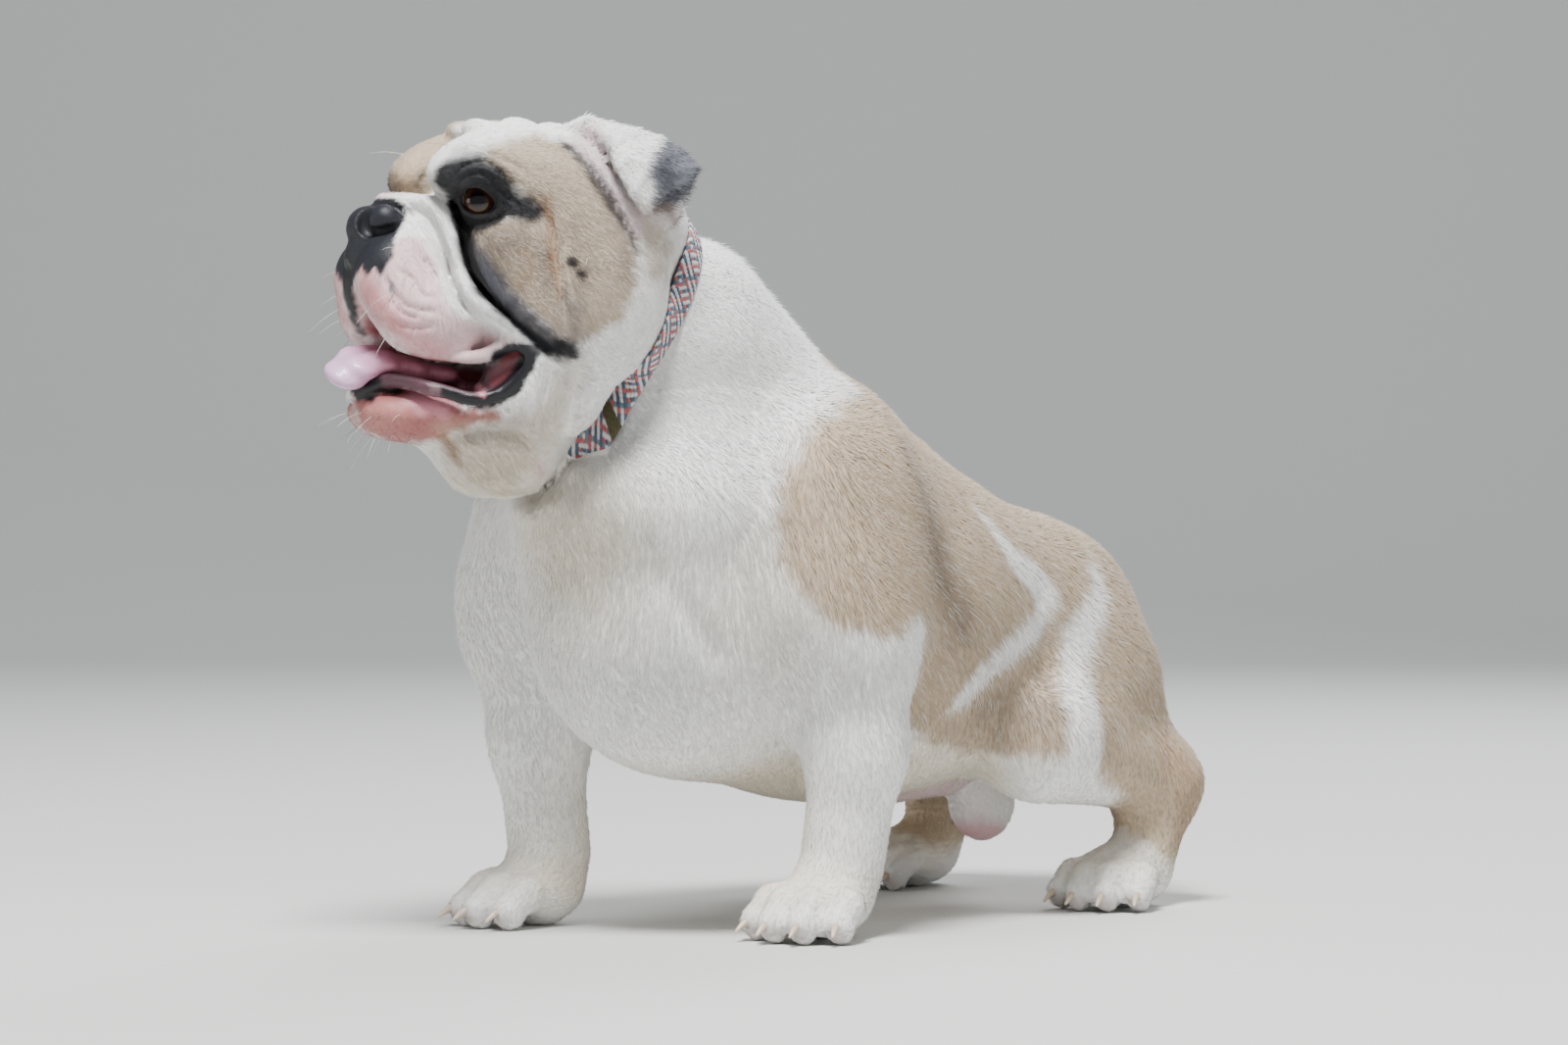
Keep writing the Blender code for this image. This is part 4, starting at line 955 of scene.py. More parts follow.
@dataclass
class BodyForm:
    """The trunk, neck, legs, paws and tail, as lobes in the design frame."""

    chest_half: float = 146
    rump_half: float = 94
    paws: list[Paw] = field(default_factory=lambda: [
        Paw("forepaw_left", LEFT, (110, -136), 12, 0.95),
        Paw("forepaw_right", RIGHT, (-103, -200), 20, 0.95),
        Paw("hindpaw_left", LEFT, (112, 174), 14, 0.90),
        Paw("hindpaw_right", RIGHT, (-112, 198), 14, 0.90),
    ])

    def __post_init__(self) -> None:
        """Make the lobes and folds."""
        self.lobes = (
            self.trunk()
            + self.foreleg(LEFT, (111, -118), (124, -112, 190))
            + self.foreleg(RIGHT, (-104, -182), (-126, -174, 190))
            + self.hind_leg(LEFT, (116, 84, 125), (112, 221, 88), (112, 200))
            + self.hind_leg(RIGHT, (-113, 108, 120), (-108, 246, 88), (-112, 225))
            + self.tail_end()
            + [lobe for paw in self.paws for lobe in paw.lobes()]
        )
        self.folds = self.muscle_folds()

    def trunk(self) -> list[Lobe]:
        """Deep chest, lower loin, rump and the thick neck rising to the head.

        Returns:
            The lobes.
        """
        return [
            Egg((0, -30, 214), (self.chest_half, 180, 134), 30, (-10, 0, 0)),
            Egg((0, -165, 220), (105, 100, 115), 50),
            Egg((0, -175, 285), (100, 70, 75), 50),
            Egg((0, -205, 290), (96, 70, 54), 30),
            Egg((0, 88, 196), (118, 150, 96), 50, (-8, 0, 0)),
            Egg((0, 156, 192), (self.rump_half, 90, 80), 40),
            Rope([(0, -55, 280), (-8, -165, 390)], [93, 82], 45),
        ]

    def foreleg(self, side: int, foot: Row, elbow: Row) -> list[Lobe]:
        """Shoulder, upper arm, point of the elbow and the straight thick forearm.

        Args:
            side: left or right.
            foot: place of the foot on the floor.
            elbow: place of the elbow.

        Returns:
            The lobes.
        """
        (fx, fy), (ex, ey, ez) = foot, elbow
        mid = ((ex + fx) / 2 + side * 4, (ey + fy) / 2, 125)
        return [
            Egg((side * 76, ey + 24, 300), (47, 60, 70), 40),
            Egg((side * 106, ey + 2, 266), (50, 70, 83), 30),
            Egg((ex - side * 4, ey - 12, 222), (42, 54, 52), 30),
            Egg((ex + side * 12, ey + 30, 200), (15, 19, 16), 14),
            Rope([(ex, ey - 8, ez), mid], [40, 33], 30),
            Rope([mid, (fx, fy, 50)], [32.5, 29], 20),
        ]

    def hind_leg(self, side: int, knee: Row, hock: Row, foot: Row) -> list[Lobe]:
        """Rounded thigh, stifle, lower leg to the hock and the upright metatarsus.

        Args:
            side: left or right.
            knee: place of the knee.
            hock: place of the hock.
            foot: place of the foot on the floor.

        Returns:
            The lobes.
        """
        return [
            Egg((side * 62, 150, 182), (50, 82, 80), 50),
            Egg((side * 84, 140, 150), (40, 72, 62), 40, (15, 0, 0)),
            Rope([(side * 85, 195, 150), hock], [36, 25], 30),
            Rope([(side * 78, 155, 160), knee], [55, 40], 30),
            Rope([knee, hock], [41, 26], 25),
            Rope([hock, (foot[0], foot[1], 28)], [26.5, 24], 20),
        ]

    def tail_end(self) -> list[Lobe]:
        """Short thick tail bent down, sheath under the belly and scrotum.

        Returns:
            The lobes.
        """
        return [
            Egg((0, 242, 226), (24, 24, 22), 20),
            Rope([(2, 256, 226), (8, 270, 204)], [17.5, 12], 12),
            Rope([(4, 20, 94), (4, 105, 98)], [17, 21], 20),
            Egg((4, 150, 74), (24, 28, 32), 5),
        ]

    def muscle_folds(self) -> list[Fold]:
        """Creases of the shoulder, elbow, chest, flank and neck.

        Returns:
            The folds.
        """
        out = []
        for side in (LEFT, RIGHT):
            slip = 0 if side == LEFT else -62
            out += [
                Fold([(side * 118, -70 + slip, 350), (side * 150, -58 + slip, 290), (side * 158, -62 + slip, 240)],
                     10, 4, 0.1),
                Fold([(side * 150, -95 + slip, 214), (side * 160, -80 + slip, 180), (side * 140, -60 + slip, 150)],
                     7, 4, 0.1),
                Fold([(side * 60, -262 + slip / 3, 262), (side * 78, -232 + slip / 2, 220),
                      (side * 84, -200 + slip / 2, 180)], 9, 4, 0.1),
                Fold([(side * 112, 62, 240), (side * 128, 78, 190), (side * 134, 70, 150)], 14, 5, 0.1),
                Fold([(side * 120, 118, 118), (side * 128, 150, 104), (side * 122, 190, 92)], 9, 3, 0.1),
            ]
        out.append(Fold([(-4, -330, 300), (-2, -300, 240), (0, -262, 190)], 16, 4, 0.1))
        return out

    def shape(self, points: Array) -> Array:
        """Shape of everything below the head.

        Args:
            points: places in millimetres.

        Returns:
            The value of each, negative inside.
        """
        values = np.full(len(points), FAR)
        blend_in(values, self.lobes, points)
        for fold in self.folds:
            fold.press(values, points)
        return values


@dataclass
class Bulldog:
    """The whole dog's form, and how deep its coat is from place to place."""

    head: HeadForm = field(default_factory=HeadForm)
    body: BodyForm = field(default_factory=BodyForm)
    body_coat: float = 2.6
    face_coat: float = 1.0
    paw_coat: float = 1.2
    face_middle: Row = (0, 60, -10)
    head_reach: float = 250.0
    neck_join: float = 18.0
    throat_crease: Fold = field(default_factory=lambda: Fold(
        [(58, -166), (44, -168), (27, -168), (9, -162), (-4, -154), (-12, -144), (-17, -131), (-26, -120),
         (-36, -112)], 7, 10, 0.3))

    def from_face(self, points: Array) -> Array:
        """Distance of places from the middle of the face."""
        return np.linalg.norm(points - self.head.outward(self.face_middle), axis=1)

    def coat_depth(self, points: Array) -> Array:
        """Depth of the coat: thin on the head and the paws, deeper over the body.

        Args:
            points: places in millimetres.

        Returns:
            The depth at each.
        """
        depth = self.face_coat + (self.body_coat - self.face_coat) * fade(self.from_face(points), 90, 230)
        return np.minimum(depth, self.paw_coat + (self.body_coat - self.paw_coat) * fade(points[:, 2], 40, 110))

    def solid(self, points: Array) -> Array:
        """Shape of the dog with its coat, in the design frame: negative inside.

        Args:
            points: places in millimetres.

        Returns:
            The value of each.
        """
        values = self.body.shape(points)
        near = within(points, self.head.middle, self.head_reach)
        q = self.head.inward(points[near])
        joined = soft_min(values[near], self.head.shape(q), self.neck_join)
        q[:, 0] = np.abs(q[:, 0])
        self.throat_crease.press(joined, q)
        values[near] = joined
        return values

    def skin(self, points: Array) -> Array:
        """Shape of the skin, with the sockets of the eyes.

        Args:
            points: places in millimetres.

        Returns:
            The value of each, negative inside.
        """
        values = self.solid(points) + self.coat_depth(points)
        away = self.head.inward(points)
        away[:, 0] = np.abs(away[:, 0])
        blend_in(values, self.head.sockets, away, -1)
        return np.maximum(values, -points[:, 2])


# Markings

class Space(Enum):
    """Frame that a marking is given in."""

    HEAD = "head"
    BODY = "body"


@dataclass
class Outline:
    """Flat outline seen from one side, or slanted as strokes are: signed distance in that plane."""

    points: Rows
    side: int
    from_middle: float = 0.0
    slanted: bool = False

    def __post_init__(self) -> None:
        """Keep the corners as an array."""
        self.rows = np.array(self.points, float)

    def distance(self, points: Array) -> Array:
        """Distance to the outline, negative inside it and on its side of the dog.

        Args:
            points: places in millimetres.

        Returns:
            The distance of each.
        """
        every = from_side(points) if self.slanted else points[:, 1:]
        low, high = self.rows.min(0) - 25, self.rows.max(0) + 25
        close = ((every > low) & (every < high)).all(-1) & (self.side * points[:, 0] > self.from_middle - 25)
        out = np.full(len(points), FAR)
        q = every[close]
        inside = np.zeros(len(q), bool)
        edge = np.full(len(q), FAR)
        for a, b in zip(self.rows, np.roll(self.rows, -1, axis=0)):
            edge = np.minimum(edge, to_stretch(q, a, b)[0])
            if a[1] != b[1]:
                side = b - a
                crosses = (a[1] > q[:, 1]) != (b[1] > q[:, 1])
                inside ^= crosses & (q[:, 0] < a[0] + (q[:, 1] - a[1]) * side[0] / side[1])
        flat = np.sqrt(edge) * np.where(inside, -1, 1)
        out[close] = np.maximum(flat, self.from_middle - self.side * points[close, 0])
        return out


@dataclass
class Mark:
    """Patch of colour where a form passes through the skin, with a soft and ragged edge."""

    form: Lobe | Outline
    colour: Colour
    edge: float = 3.0
    ragged: float = 2.5
    strength: float = 1.0
    gloss: float | None = None
    space: Space = Space.HEAD


@dataclass
class SideMark:
    """Mark given once and laid on either side of the head.

    Points of two numbers are forward and up in the slanted side view.  The spread is a radius for
    each point of a line, or how far from the head's middle an outline begins.
    """

    points: Rows
    spread: Row | float
    colour: Colour
    edge: float = 3.0
    ragged: float = 2.5
    strength: float = 1.0
    gloss: float | None = None

    def on(self, side: int) -> Mark:
        """Lay the mark on one side.

        Args:
            side: left or right.

        Returns:
            The mark, as an outline, a stroke in the side view or a rope through points in space.
        """
        if isinstance(self.spread, (int, float)):
            form = Outline(self.points, side, self.spread, True)
        elif len(self.points[0]) == 2:
            form = Stroke(self.points, self.spread, 1, side)
        else:
            form = Rope([(side * s, f, u) for s, f, u in self.points], self.spread)
        return Mark(form, self.colour, self.edge, self.ragged, self.strength, self.gloss)


def on_both(table: Sequence[SideMark]) -> list[Mark]:
    """Every mark of a table laid on the left side and then on the right one."""
    return [mark.on(side) for side in (LEFT, RIGHT) for mark in table]


class Tone:
    """Colours of the coat and the bare skin, as linear light."""

    WHITE = (0.86, 0.85, 0.83)
    CREAM = (0.74, 0.62, 0.43)
    FAWN = (0.46, 0.355, 0.25)
    DARK_FAWN = (0.20, 0.155, 0.12)
    RUST = (0.24, 0.125, 0.06)
    # Blacker than the coat's black, for the painted shade in the nostrils.
    INK = (0.004, 0.004, 0.005)
    BLACK = (0.009, 0.009, 0.011)
    SLATE = (0.012, 0.013, 0.017)
    GREY = (0.115, 0.12, 0.145)
    PURPLE_GREY = (0.108, 0.098, 0.108)
    PLUM = (0.085, 0.040, 0.052)
    TAN = (0.43, 0.345, 0.26)
    BRIGHT_PINK = (0.62, 0.26, 0.31)
    PINK = (0.60, 0.29, 0.31)
    SALMON = (0.50, 0.215, 0.19)
    PALE_PINK = (0.68, 0.46, 0.475)
    LILAC = (0.62, 0.48, 0.49)
    CHIN = (0.28, 0.068, 0.062)
    MOUTH = (0.22, 0.045, 0.05)
    PAD = (0.28, 0.14, 0.11)


# Darkest and palest tone that a piece may take.
DARKEST, PALEST = 0.004, 0.95
# Roughness of wet lips, the inside of the mouth, the damp muzzle and bare skin.
WET, LIP, DAMP, BARE = 0.33, 0.35, 0.55, 0.6


@dataclass
class Markings:
    """Every patch of the coat, worked out at any place on the dog."""

    dog: Bulldog
    base: Colour = Tone.WHITE
    coat_gloss: float = 0.78
    head_reach: float = 230.0

    def __post_init__(self) -> None:
        """List the marks in the order they are laid on."""
        self.marks = self.fawn_marks() + self.body_stains() + self.paw_stains()
        for mark in self.marks:
            mark.space = Space.BODY
        self.marks += self.temples() + on_both(self.mask_and_muzzle()) + self.middle_marks()
        self.marks += on_both(self.lips_and_ears()) + self.lone_marks()

    def fawn_marks(self) -> list[Mark]:
        """Cream chest and belly, and the fawn of shoulder, back, flank and thigh, darker fawn and painted shade
        along its folds.

        Returns:
            The marks, in the design frame.
        """
        left = [(-85, 392), (-85, 366), (-118, 358), (-149, 340), (-175, 314), (-187, 285), (-185, 249),
            (-177, 227), (-166, 213), (-136, 203), (-112, 209), (-98, 190), (-84, 160), (-55, 138), (-20, 124),
            (40, 116), (84, 112), (118, 96), (150, 80), (176, 60), (200, 32), (250, 30), (330, 60), (330, 300),
            (200, 330), (0, 392)]
        right = [(-110, 392), (-140, 360), (-190, 330), (-215, 290), (-212, 250), (-190, 226), (-160, 214),
            (-130, 190), (-90, 150), (-30, 122), (60, 118), (110, 108), (140, 80), (170, 50), (200, 30),
            (330, 30), (330, 300), (200, 330), (0, 392)]
        spine = [(0, -60, 370), (0, 40, 320), (0, 150, 290), (0, 240, 230)]
        arm = [(132, -78, 332), (150, -62, 262), (142, -34, 210)]
        loin = [(126, 20, 150), (132, 70, 140), (128, 110, 128)]
        return [
            Mark(Egg((10, -330, 262), (90, 90, 70)), Tone.CREAM, 45, 12, 0.65),
            Mark(Egg((0, -150, 60), (120, 90, 60)), Tone.CREAM, 40, 12, 0.35),
            Mark(Egg((60, -150, 240), (80, 70, 60)), Tone.CREAM, 40, 8, 0.5),
            Mark(Egg((20, -20, 100), (120, 130, 46)), Tone.CREAM, 30, 8, 0.6),
            Mark(Outline(left, LEFT, -14), Tone.FAWN, 6, 5),
            Mark(Outline(right, RIGHT, -14), Tone.FAWN, 6, 5),
            Mark(Rope(spine, [26, 34, 34, 24]), Tone.DARK_FAWN, 26, 8, 0.5),
            # Darker fawn with painted shade along the crease behind the shoulder and the fold of the flank.
            Mark(Rope(arm, [9, 16, 12]), Tone.DARK_FAWN, 16, 6, 0.75),
            Mark(Rope(loin, [16, 20, 14]), Tone.DARK_FAWN, 16, 6, 0.55),
            Mark(Rope([(139, 200, 110), (139, 220, 78), (130, 226, 40)], [14, 15, 12]), Tone.RUST, 14, 5, 0.45),
        ]

    def body_stains(self) -> list[Mark]:
        """White strokes on the flanks, elbows and tail, the pink of the groin and the soles.

        Returns:
            The marks, in the design frame.
        """
        flank = [(112, 16, 294), (127, 37, 258), (127, 66, 240), (124, 78, 226)]
        flank_end = [(124, 78, 226), (128, 62, 206), (137, 45, 200), (138, 10, 182), (132, -12, 164),
            (128, -22, 148)]
        thigh = [(98, 158, 262), (112, 150, 244), (122, 141, 226), (132, 112, 200), (146, 90, 172),
            (156, 84, 140), (158, 84, 108), (150, 92, 70)]
        far_flank = [(-118, 60, 268), (-134, 96, 216), (-142, 60, 170)]
        far_thigh = [(-150, 110, 150), (-156, 100, 100), (-150, 110, 60)]
        return [
            Mark(Rope(flank, [3, 9, 16, 12]), Tone.WHITE, 4, 4, 0.95),
            Mark(Rope(flank_end, [12, 11, 9, 9, 8, 3]), Tone.WHITE, 4, 4, 0.95),
            Mark(Rope(thigh, [4, 7, 9, 13, 15, 17, 18, 18]), Tone.WHITE, 5, 3.5, 0.95),
            Mark(Rope([(132, 112, 200), (136, 88, 198), (138, 70, 204)], [9, 8, 4]), Tone.WHITE, 4, 3, 0.9),
            Mark(Rope(far_flank, [2, 8, 4]), Tone.WHITE, 3, 2.5, 0.95),
            Mark(Rope(far_thigh, [10, 15, 14]), Tone.WHITE, 5, 3.5, 0.95),
            Mark(Egg((166, -96, 199), (14, 20, 19)), Tone.WHITE, 4, 2),
            Mark(Egg((-166, -158, 199), (14, 20, 19)), Tone.WHITE, 4, 2),
            Mark(Egg((4, 262, 214), (26, 26, 30)), Tone.WHITE, 5, 3, 0.9),
            Mark(Egg((0, 60, 70), (46, 100, 42)), Tone.PALE_PINK, 14, 5, 0.7, BARE),
            Mark(Egg((4, 150, 92), (34, 40, 44)), Tone.WHITE, 6, 3, 0.8, BARE),
            Mark(Egg((6, 142, 46), (24, 24, 14)), Tone.PINK, 6, 4, 0.75, 0.5),
            Mark(Egg((0, 0, -60), (400, 500, 61.5)), Tone.PAD, 2.5, 1.5, 0.9, BARE),
        ]

    def paw_stains(self) -> list[Mark]:
        """Brownish toe tips and cream heels.

        Returns:
            The marks, in the design frame.
        """
        marks = []
        for paw in self.dog.body.paws:
            for spec in paw.toes:
                place = paw.toe(*spec)[2] + paw.ahead * 4 + (0, 0, -5)
                marks.append(Mark(Egg(place, (7, 7, 6)), Tone.PAD, 5, 2, 0.55))
            marks.append(Mark(Egg(paw.centre + (0, 0, 32), (46, 46, 20)), Tone.CREAM, 16, 8, 0.45))
        return marks

    def temples(self) -> list[Mark]:
        """Tan left temple, the fawn right one, which reaches over the brow, and painted shade at that brow's front.

        Returns:
            The marks, in the head's frame.
        """
        temple = [(74, 64), (44, 77), (22, 76), (5, 67), (-11, 53), (-27, 37), (-42, 19), (-46, -7), (-38, -32),
            (-20, -46), (-2, -52), (10, -44), (22, -38), (42, -28), (58, -16), (80, 4), (80, 20), (30, 25),
            (50, 40), (70, 50)]
        far_brow = [(120, 26), (120, 70), (70, 96), (30, 96), (10, 86), (-6, 66), (-24, 40), (-38, 5), (-46, -45),
            (-30, -72), (0, -78), (22, -66), (36, -50), (50, -28), (60, 2), (70, 24)]
        return [
            Mark(Outline(temple, LEFT, 6, True), Tone.TAN, 5, 5),
            Mark(Outline(far_brow, RIGHT, 8), Tone.FAWN, 6, 5),
            # Painted shade at the front of the far brow.
            Mark(Rope([(-28, 104, 34), (-42, 99, 38), (-56, 86, 40)], [8, 9, 8]), Tone.BLACK, 9, 4, 0.6),
            Mark(Rope([(-40, 92, 62), (-54, 66, 70), (-62, 40, 70)], [7, 9, 8]), Tone.DARK_FAWN, 13, 6, 0.6),
        ]

    def mask_and_muzzle(self) -> list[SideMark]:
        """Shading of the temple, cheek and brow, and the pink of the muzzle.

        Returns:
            The marks of one side.
        """
        brow_shade = [(100, 45), (92, 56), (77, 61), (65, 55), (53, 48), (41, 39), (26, 37), (20, 26), (42, 19)]
        cheek_shade = [(72, 5), (48, 19), (34, 17), (38, 1), (46, -8), (55, -8)]
        muzzle = [(143, -10), (126, -10), (119, -2), (106, -5), (97, -17), (88, -31), (77, -47), (60, -54),
            (39, -56), (32, -56), (44, -68), (56, -82), (76, -90), (95, -88), (120, -72), (140, -56), (152, -38),
            (148, -28)]
        flew = [(142, -34), (133, -47), (119, -59), (102, -68), (84, -76)]
        return [
            SideMark([(-10, 8), (-28, -4), (-22, -24), (-14, -40)], [8, 10, 9, 6], Tone.TAN, 12, 6, 0.45),
            SideMark([(-46, 36), (-56, 22), (-58, 4)], [10, 12, 8], Tone.TAN, 10, 6, 0.8),
            SideMark(cheek_shade, 10, Tone.DARK_FAWN, 8, 5, 0.75),
            SideMark([(34, -1), (29, -10), (34, -20)], [5, 5, 4], Tone.RUST, 7, 4, 0.35),
            SideMark([(34, 12), (22, 2), (15, -16)], [4, 6, 5], Tone.DARK_FAWN, 8, 5, 0.8),
            SideMark([(4, 26), (-6, 6), (-8, -14)], [4, 5, 4], Tone.DARK_FAWN, 9, 5, 0.55),
            SideMark([(0, -22), (-8, -38), (-8, -54)], [4, 6, 5], Tone.GREY, 10, 6, 0.5),
            SideMark([(-22, 40), (-34, 20), (-38, 0)], [4, 5, 4], Tone.DARK_FAWN, 8, 5, 0.65),
            SideMark(brow_shade, 8, Tone.BLACK, 7, 4, 0.70),
            SideMark(muzzle, -2, Tone.PALE_PINK, 6, 5, 0.95, BARE),
            SideMark(flew, [7, 9, 9, 8, 7], Tone.PINK, 10, 6, 0.9, DAMP),
            SideMark([(140, -42), (128, -56), (112, -66)], [4, 5, 4], Tone.SALMON, 9, 5, 0.6, DAMP),
        ]

    def middle_marks(self) -> list[Mark]:
        """Pale roll over the nose and the red inside of the mouth.

        Returns:
            The marks, in the head's frame.
        """
        return [
            Mark(Rope([(0, 112, 27), (12, 106, 29)], [9, 8]), Tone.PALE_PINK, 5, 3, 0.9, DAMP),
            Mark(Egg((0, 56, -88), (52, 66, 20)), Tone.MOUTH, 5, 2, 1, LIP),
            Mark(Rope(MOUTH_LINE, [25, 20, 16]), Tone.MOUTH, 1.5, 1, 1, LIP),
            Mark(Egg((0, 106, -68), (16, 16, 18)), Tone.MOUTH, 5, 2, 1, LIP),
        ]

    def lips_and_ears(self) -> list[SideMark]:
        """Chin, lips, nose, ears, the fold under the eye and the patch round it, with painted shade and highlight.

        Returns:
            The marks of one side.
        """
        chin = [(140, -112), (121, -108), (100, -101), (73, -102), (58, -107), (38, -105), (26, -109), (59, -121),
            (78, -134), (104, -142), (130, -136)]
        bulge = [(88, -99), (80, -98), (70, -102), (67, -108), (70, -117), (87, -118), (102, -111), (99, -104)]
        dewlap = [(74, -124), (66, -146), (46, -160), (20, -158), (2, -136), (-12, -108), (-18, -84), (-18, -60),
            (-2, -66), (8, -92), (24, -112), (50, -118)]
        under = [(64, -124), (40, -111), (19, -108), (11, -114), (16, -125), (37, -126), (57, -129)]
        loop = [(62, -84), (54, -96), (42, -96), (30, -88), (24, -76), (24, -66), (34, -67), (45, -74), (54, -79)]
        nose = [(160, -12), (161, -3), (158, 7), (149, 12), (141, 16), (130, 18), (123, 14), (120, 5), (124, -3),
            (126, -9), (124, -20), (128, -28), (131, -36), (136, -30), (141, -38), (145, -30), (148, -36),
            (150, -46), (160, -34)]
        lip = [(142, -110), (131, -101), (112, -89), (95, -87), (85, -92), (84, -100), (93, -104), (100, -102),
            (108, -108), (113, -107), (121, -111), (122, -117), (128, -117), (136, -118)]
        corner = [(47, -76), (45, -67), (38, -61), (28, -57), (14, -56), (12, -64), (20, -66), (33, -70)]
        lower = [(24, 99, -95), (36, 87, -95), (46, 79, -97), (52, 68, -97), (58, 57, -99), (62, 46, -97),
            (66, 36, -91), (69, 29, -83), (71, 27, -73), (71, 28, -64)]
        hanging = [(74, -99), (64, -101), (55, -102), (47, -101), (39, -97), (32, -91), (27, -85), (23, -76),
            (20, -69), (22, -63)]
        lilac = [(12, 89), (1, 96), (-10, 87), (-12, 77), (-22, 59), (-34, 46), (-42, 43), (-45, 30), (-42, 22),
            (-26, 37), (-9, 56), (8, 71), (18, 76)]
        ear_root = [(21, 75), (8, 69), (-4, 58), (-17, 46), (-31, 31), (-44, 15)]
        ear_grey = [(-51, 95), (-43, 83), (-41, 76), (-42, 65), (-47, 56), (-46, 44), (-54, 44), (-66, 50),
            (-85, 76), (-80, 95), (-67, 98)]
        canal = [(-46, 45), (-54, 47), (-61, 52), (-72, 50), (-70, 38), (-62, 35), (-49, 36)]
        band = [(77, 0), (67, -13), (56, -24), (44, -34), (29, -43), (15, -51), (2, -57)]
        crease = [(90, 22), (85, 11), (80, 1), (75, -12), (69, -22), (61, -30), (53, -35), (42, -41), (30, -47),
            (19, -53), (7, -59)]
        depth = [(54, -35), (42, -39), (31, -43), (17, -50), (6, -56)]
        patch = [(107, 33), (105, 41), (99, 48), (87, 53), (70, 53), (60, 50), (53, 42), (46, 37), (26, 32),
            (22, 28), (30, 23), (50, 19), (56, 13), (67, 8), (76, 4), (85, 8), (89, 16), (97, 25)]
        return [
            SideMark(chin, -1, Tone.CHIN, 4, 4, 0.95, 0.5),
            SideMark([(132, -122), (118, -124), (102, -120)], [6, 8, 6], Tone.SALMON, 8, 5, 0.6, 0.5),
            SideMark(bulge, 8, Tone.BRIGHT_PINK, 4, 3, 0.8, 0.4),
            SideMark(dewlap, 4, Tone.FAWN, 12, 6, 0.55),
            SideMark(under, 4, Tone.DARK_FAWN, 7, 5, 0.5),
            SideMark([(70, -130), (63, -138), (58, -144)], [3, 4, 3], Tone.RUST, 5, 3, 0.75),
            SideMark(loop, 30, Tone.PLUM, 3, 1, 1, WET),
            SideMark(nose, -1, Tone.SLATE, 1.5, 1.5, 1, 0.45),
            SideMark(lip, -1, Tone.BLACK, 1.5, 2.5, 1, WET),
            SideMark(corner, 20, Tone.BLACK, 2, 2, 1, LIP),
            SideMark(lower[:4], [7, 7.5, 7.5, 7], Tone.PLUM, 1.5, 1.5, 0.92, WET),
            SideMark(lower[3:], [7, 7.5, 7.5, 7.5, 7.5, 7, 7], Tone.BLACK, 1, 1, 1, WET),
            SideMark(GAP_LINE, [6.2, 7.2, 8.7, 9.7, 9.0, 7.5, 5.5], Tone.MOUTH, 1, 0.5, 0.9, LIP),
            # Painted shade in the nostril.
            SideMark(NOSTRIL_LINE, [3.4, 4.9, 5.4, 4, 3.2, 2.3], Tone.INK, 0.8, 0.3, 1, BARE),
            SideMark([(85, -90), (74, -93), (65, -95), (57, -97)], [3, 4.5, 5, 4], Tone.PLUM, 2.5, 3, 0.85, WET),
            SideMark(hanging, [3, 4.5, 5, 5.5, 6, 6, 6, 6, 6, 4], Tone.BLACK, 1.5, 2, 1, WET),
            SideMark([(58, -88), (51, -93), (47, -96)], [1.5, 2.5, 2], Tone.BRIGHT_PINK, 1.5, 1, 0.8, WET),
            SideMark(lilac, 20, Tone.LILAC, 3, 2, 0.8, BARE),
            # Painted shade along the crease in front of the ear.
            SideMark(ear_root, [2, 3.4, 4.2, 4, 3, 1.5], Tone.BLACK, 3, 2.5, 0.85),
            SideMark(ear_grey, 30, Tone.GREY, 3, 4, 0.95),
            SideMark([(-52, 78), (-56, 66), (-56, 54)], [4, 6, 5], Tone.BLACK, 8, 5, 0.6),
            SideMark([(-4, 84), (-10, 78), (-12, 68)], [3, 3, 1], Tone.GREY, 4, 2, 0.6),
            SideMark(canal, 30, Tone.LILAC, 3, 2, 0.6, BARE),
            SideMark([(-50, 46), (-60, 48), (-66, 40)], [2, 3, 2], Tone.DARK_FAWN, 3, 2, 0.8),
            SideMark(band, [7, 10, 11, 11, 10, 9, 6], Tone.PURPLE_GREY, 4, 3.5, 0.93),
            # Painted highlight: the sheen of the hair down the middle of the grey band.
            SideMark([(63, -12), (51, -26), (38, -36)], [3, 4, 3], Tone.GREY, 5, 3, 0.8),
            # Painted shade in the deep fold under the eye, down to its end.
            SideMark(depth, [2, 3, 4, 4, 5], Tone.BLACK, 4, 5, 0.8),
            SideMark(crease, [4, 3, 2.5, 2.2, 2, 2.2, 2.4, 2.6, 2.6, 3, 4], Tone.BLACK, 1.8, 1.5, 0.97),
            SideMark([(4, -57), (-7, -57)], [6, 6], Tone.BLACK, 3, 3, 0.97),
            SideMark(patch, 14, Tone.BLACK, 3, 2.5, 0.98, 0.66),
            SideMark([(26, 36), (19, 18), (14, -2), (6, -22)], [2.5, 2.5, 2.5, 1.5], Tone.RUST, 4, 2, 0.85),
            SideMark([(0, -136), (-1, -139)], [2, 2], Tone.PINK, 5, 1, 0.8),
        ]

    def lone_marks(self) -> list[Mark]:
        """Dark right front lip, two moles on the left cheek and a speck on the muzzle.

        Returns:
            The marks, in the head's frame.
        """
        lip = [(-2, 133, -26), (-8, 128, -43), (-12, 121, -58), (-16, 112, -70)]
        return [
            Mark(Rope(lip, [7, 6, 7, 7]), Tone.BLACK, 2, 2.5, 1, LIP),
            SideMark([(2, 2), (0, 0)], [3.5, 3.5], Tone.BLACK, 1.5, 2, 0.95).on(LEFT),
            SideMark([(-6, -6), (-7, -7)], [2.5, 2.5], Tone.BLACK, 1.5, 1.5, 0.95).on(LEFT),
            SideMark([(122, -38), (122, -41)], [2.2, 2.2], Tone.GREY, 1.2, 1, 0.85).on(LEFT),
        ]

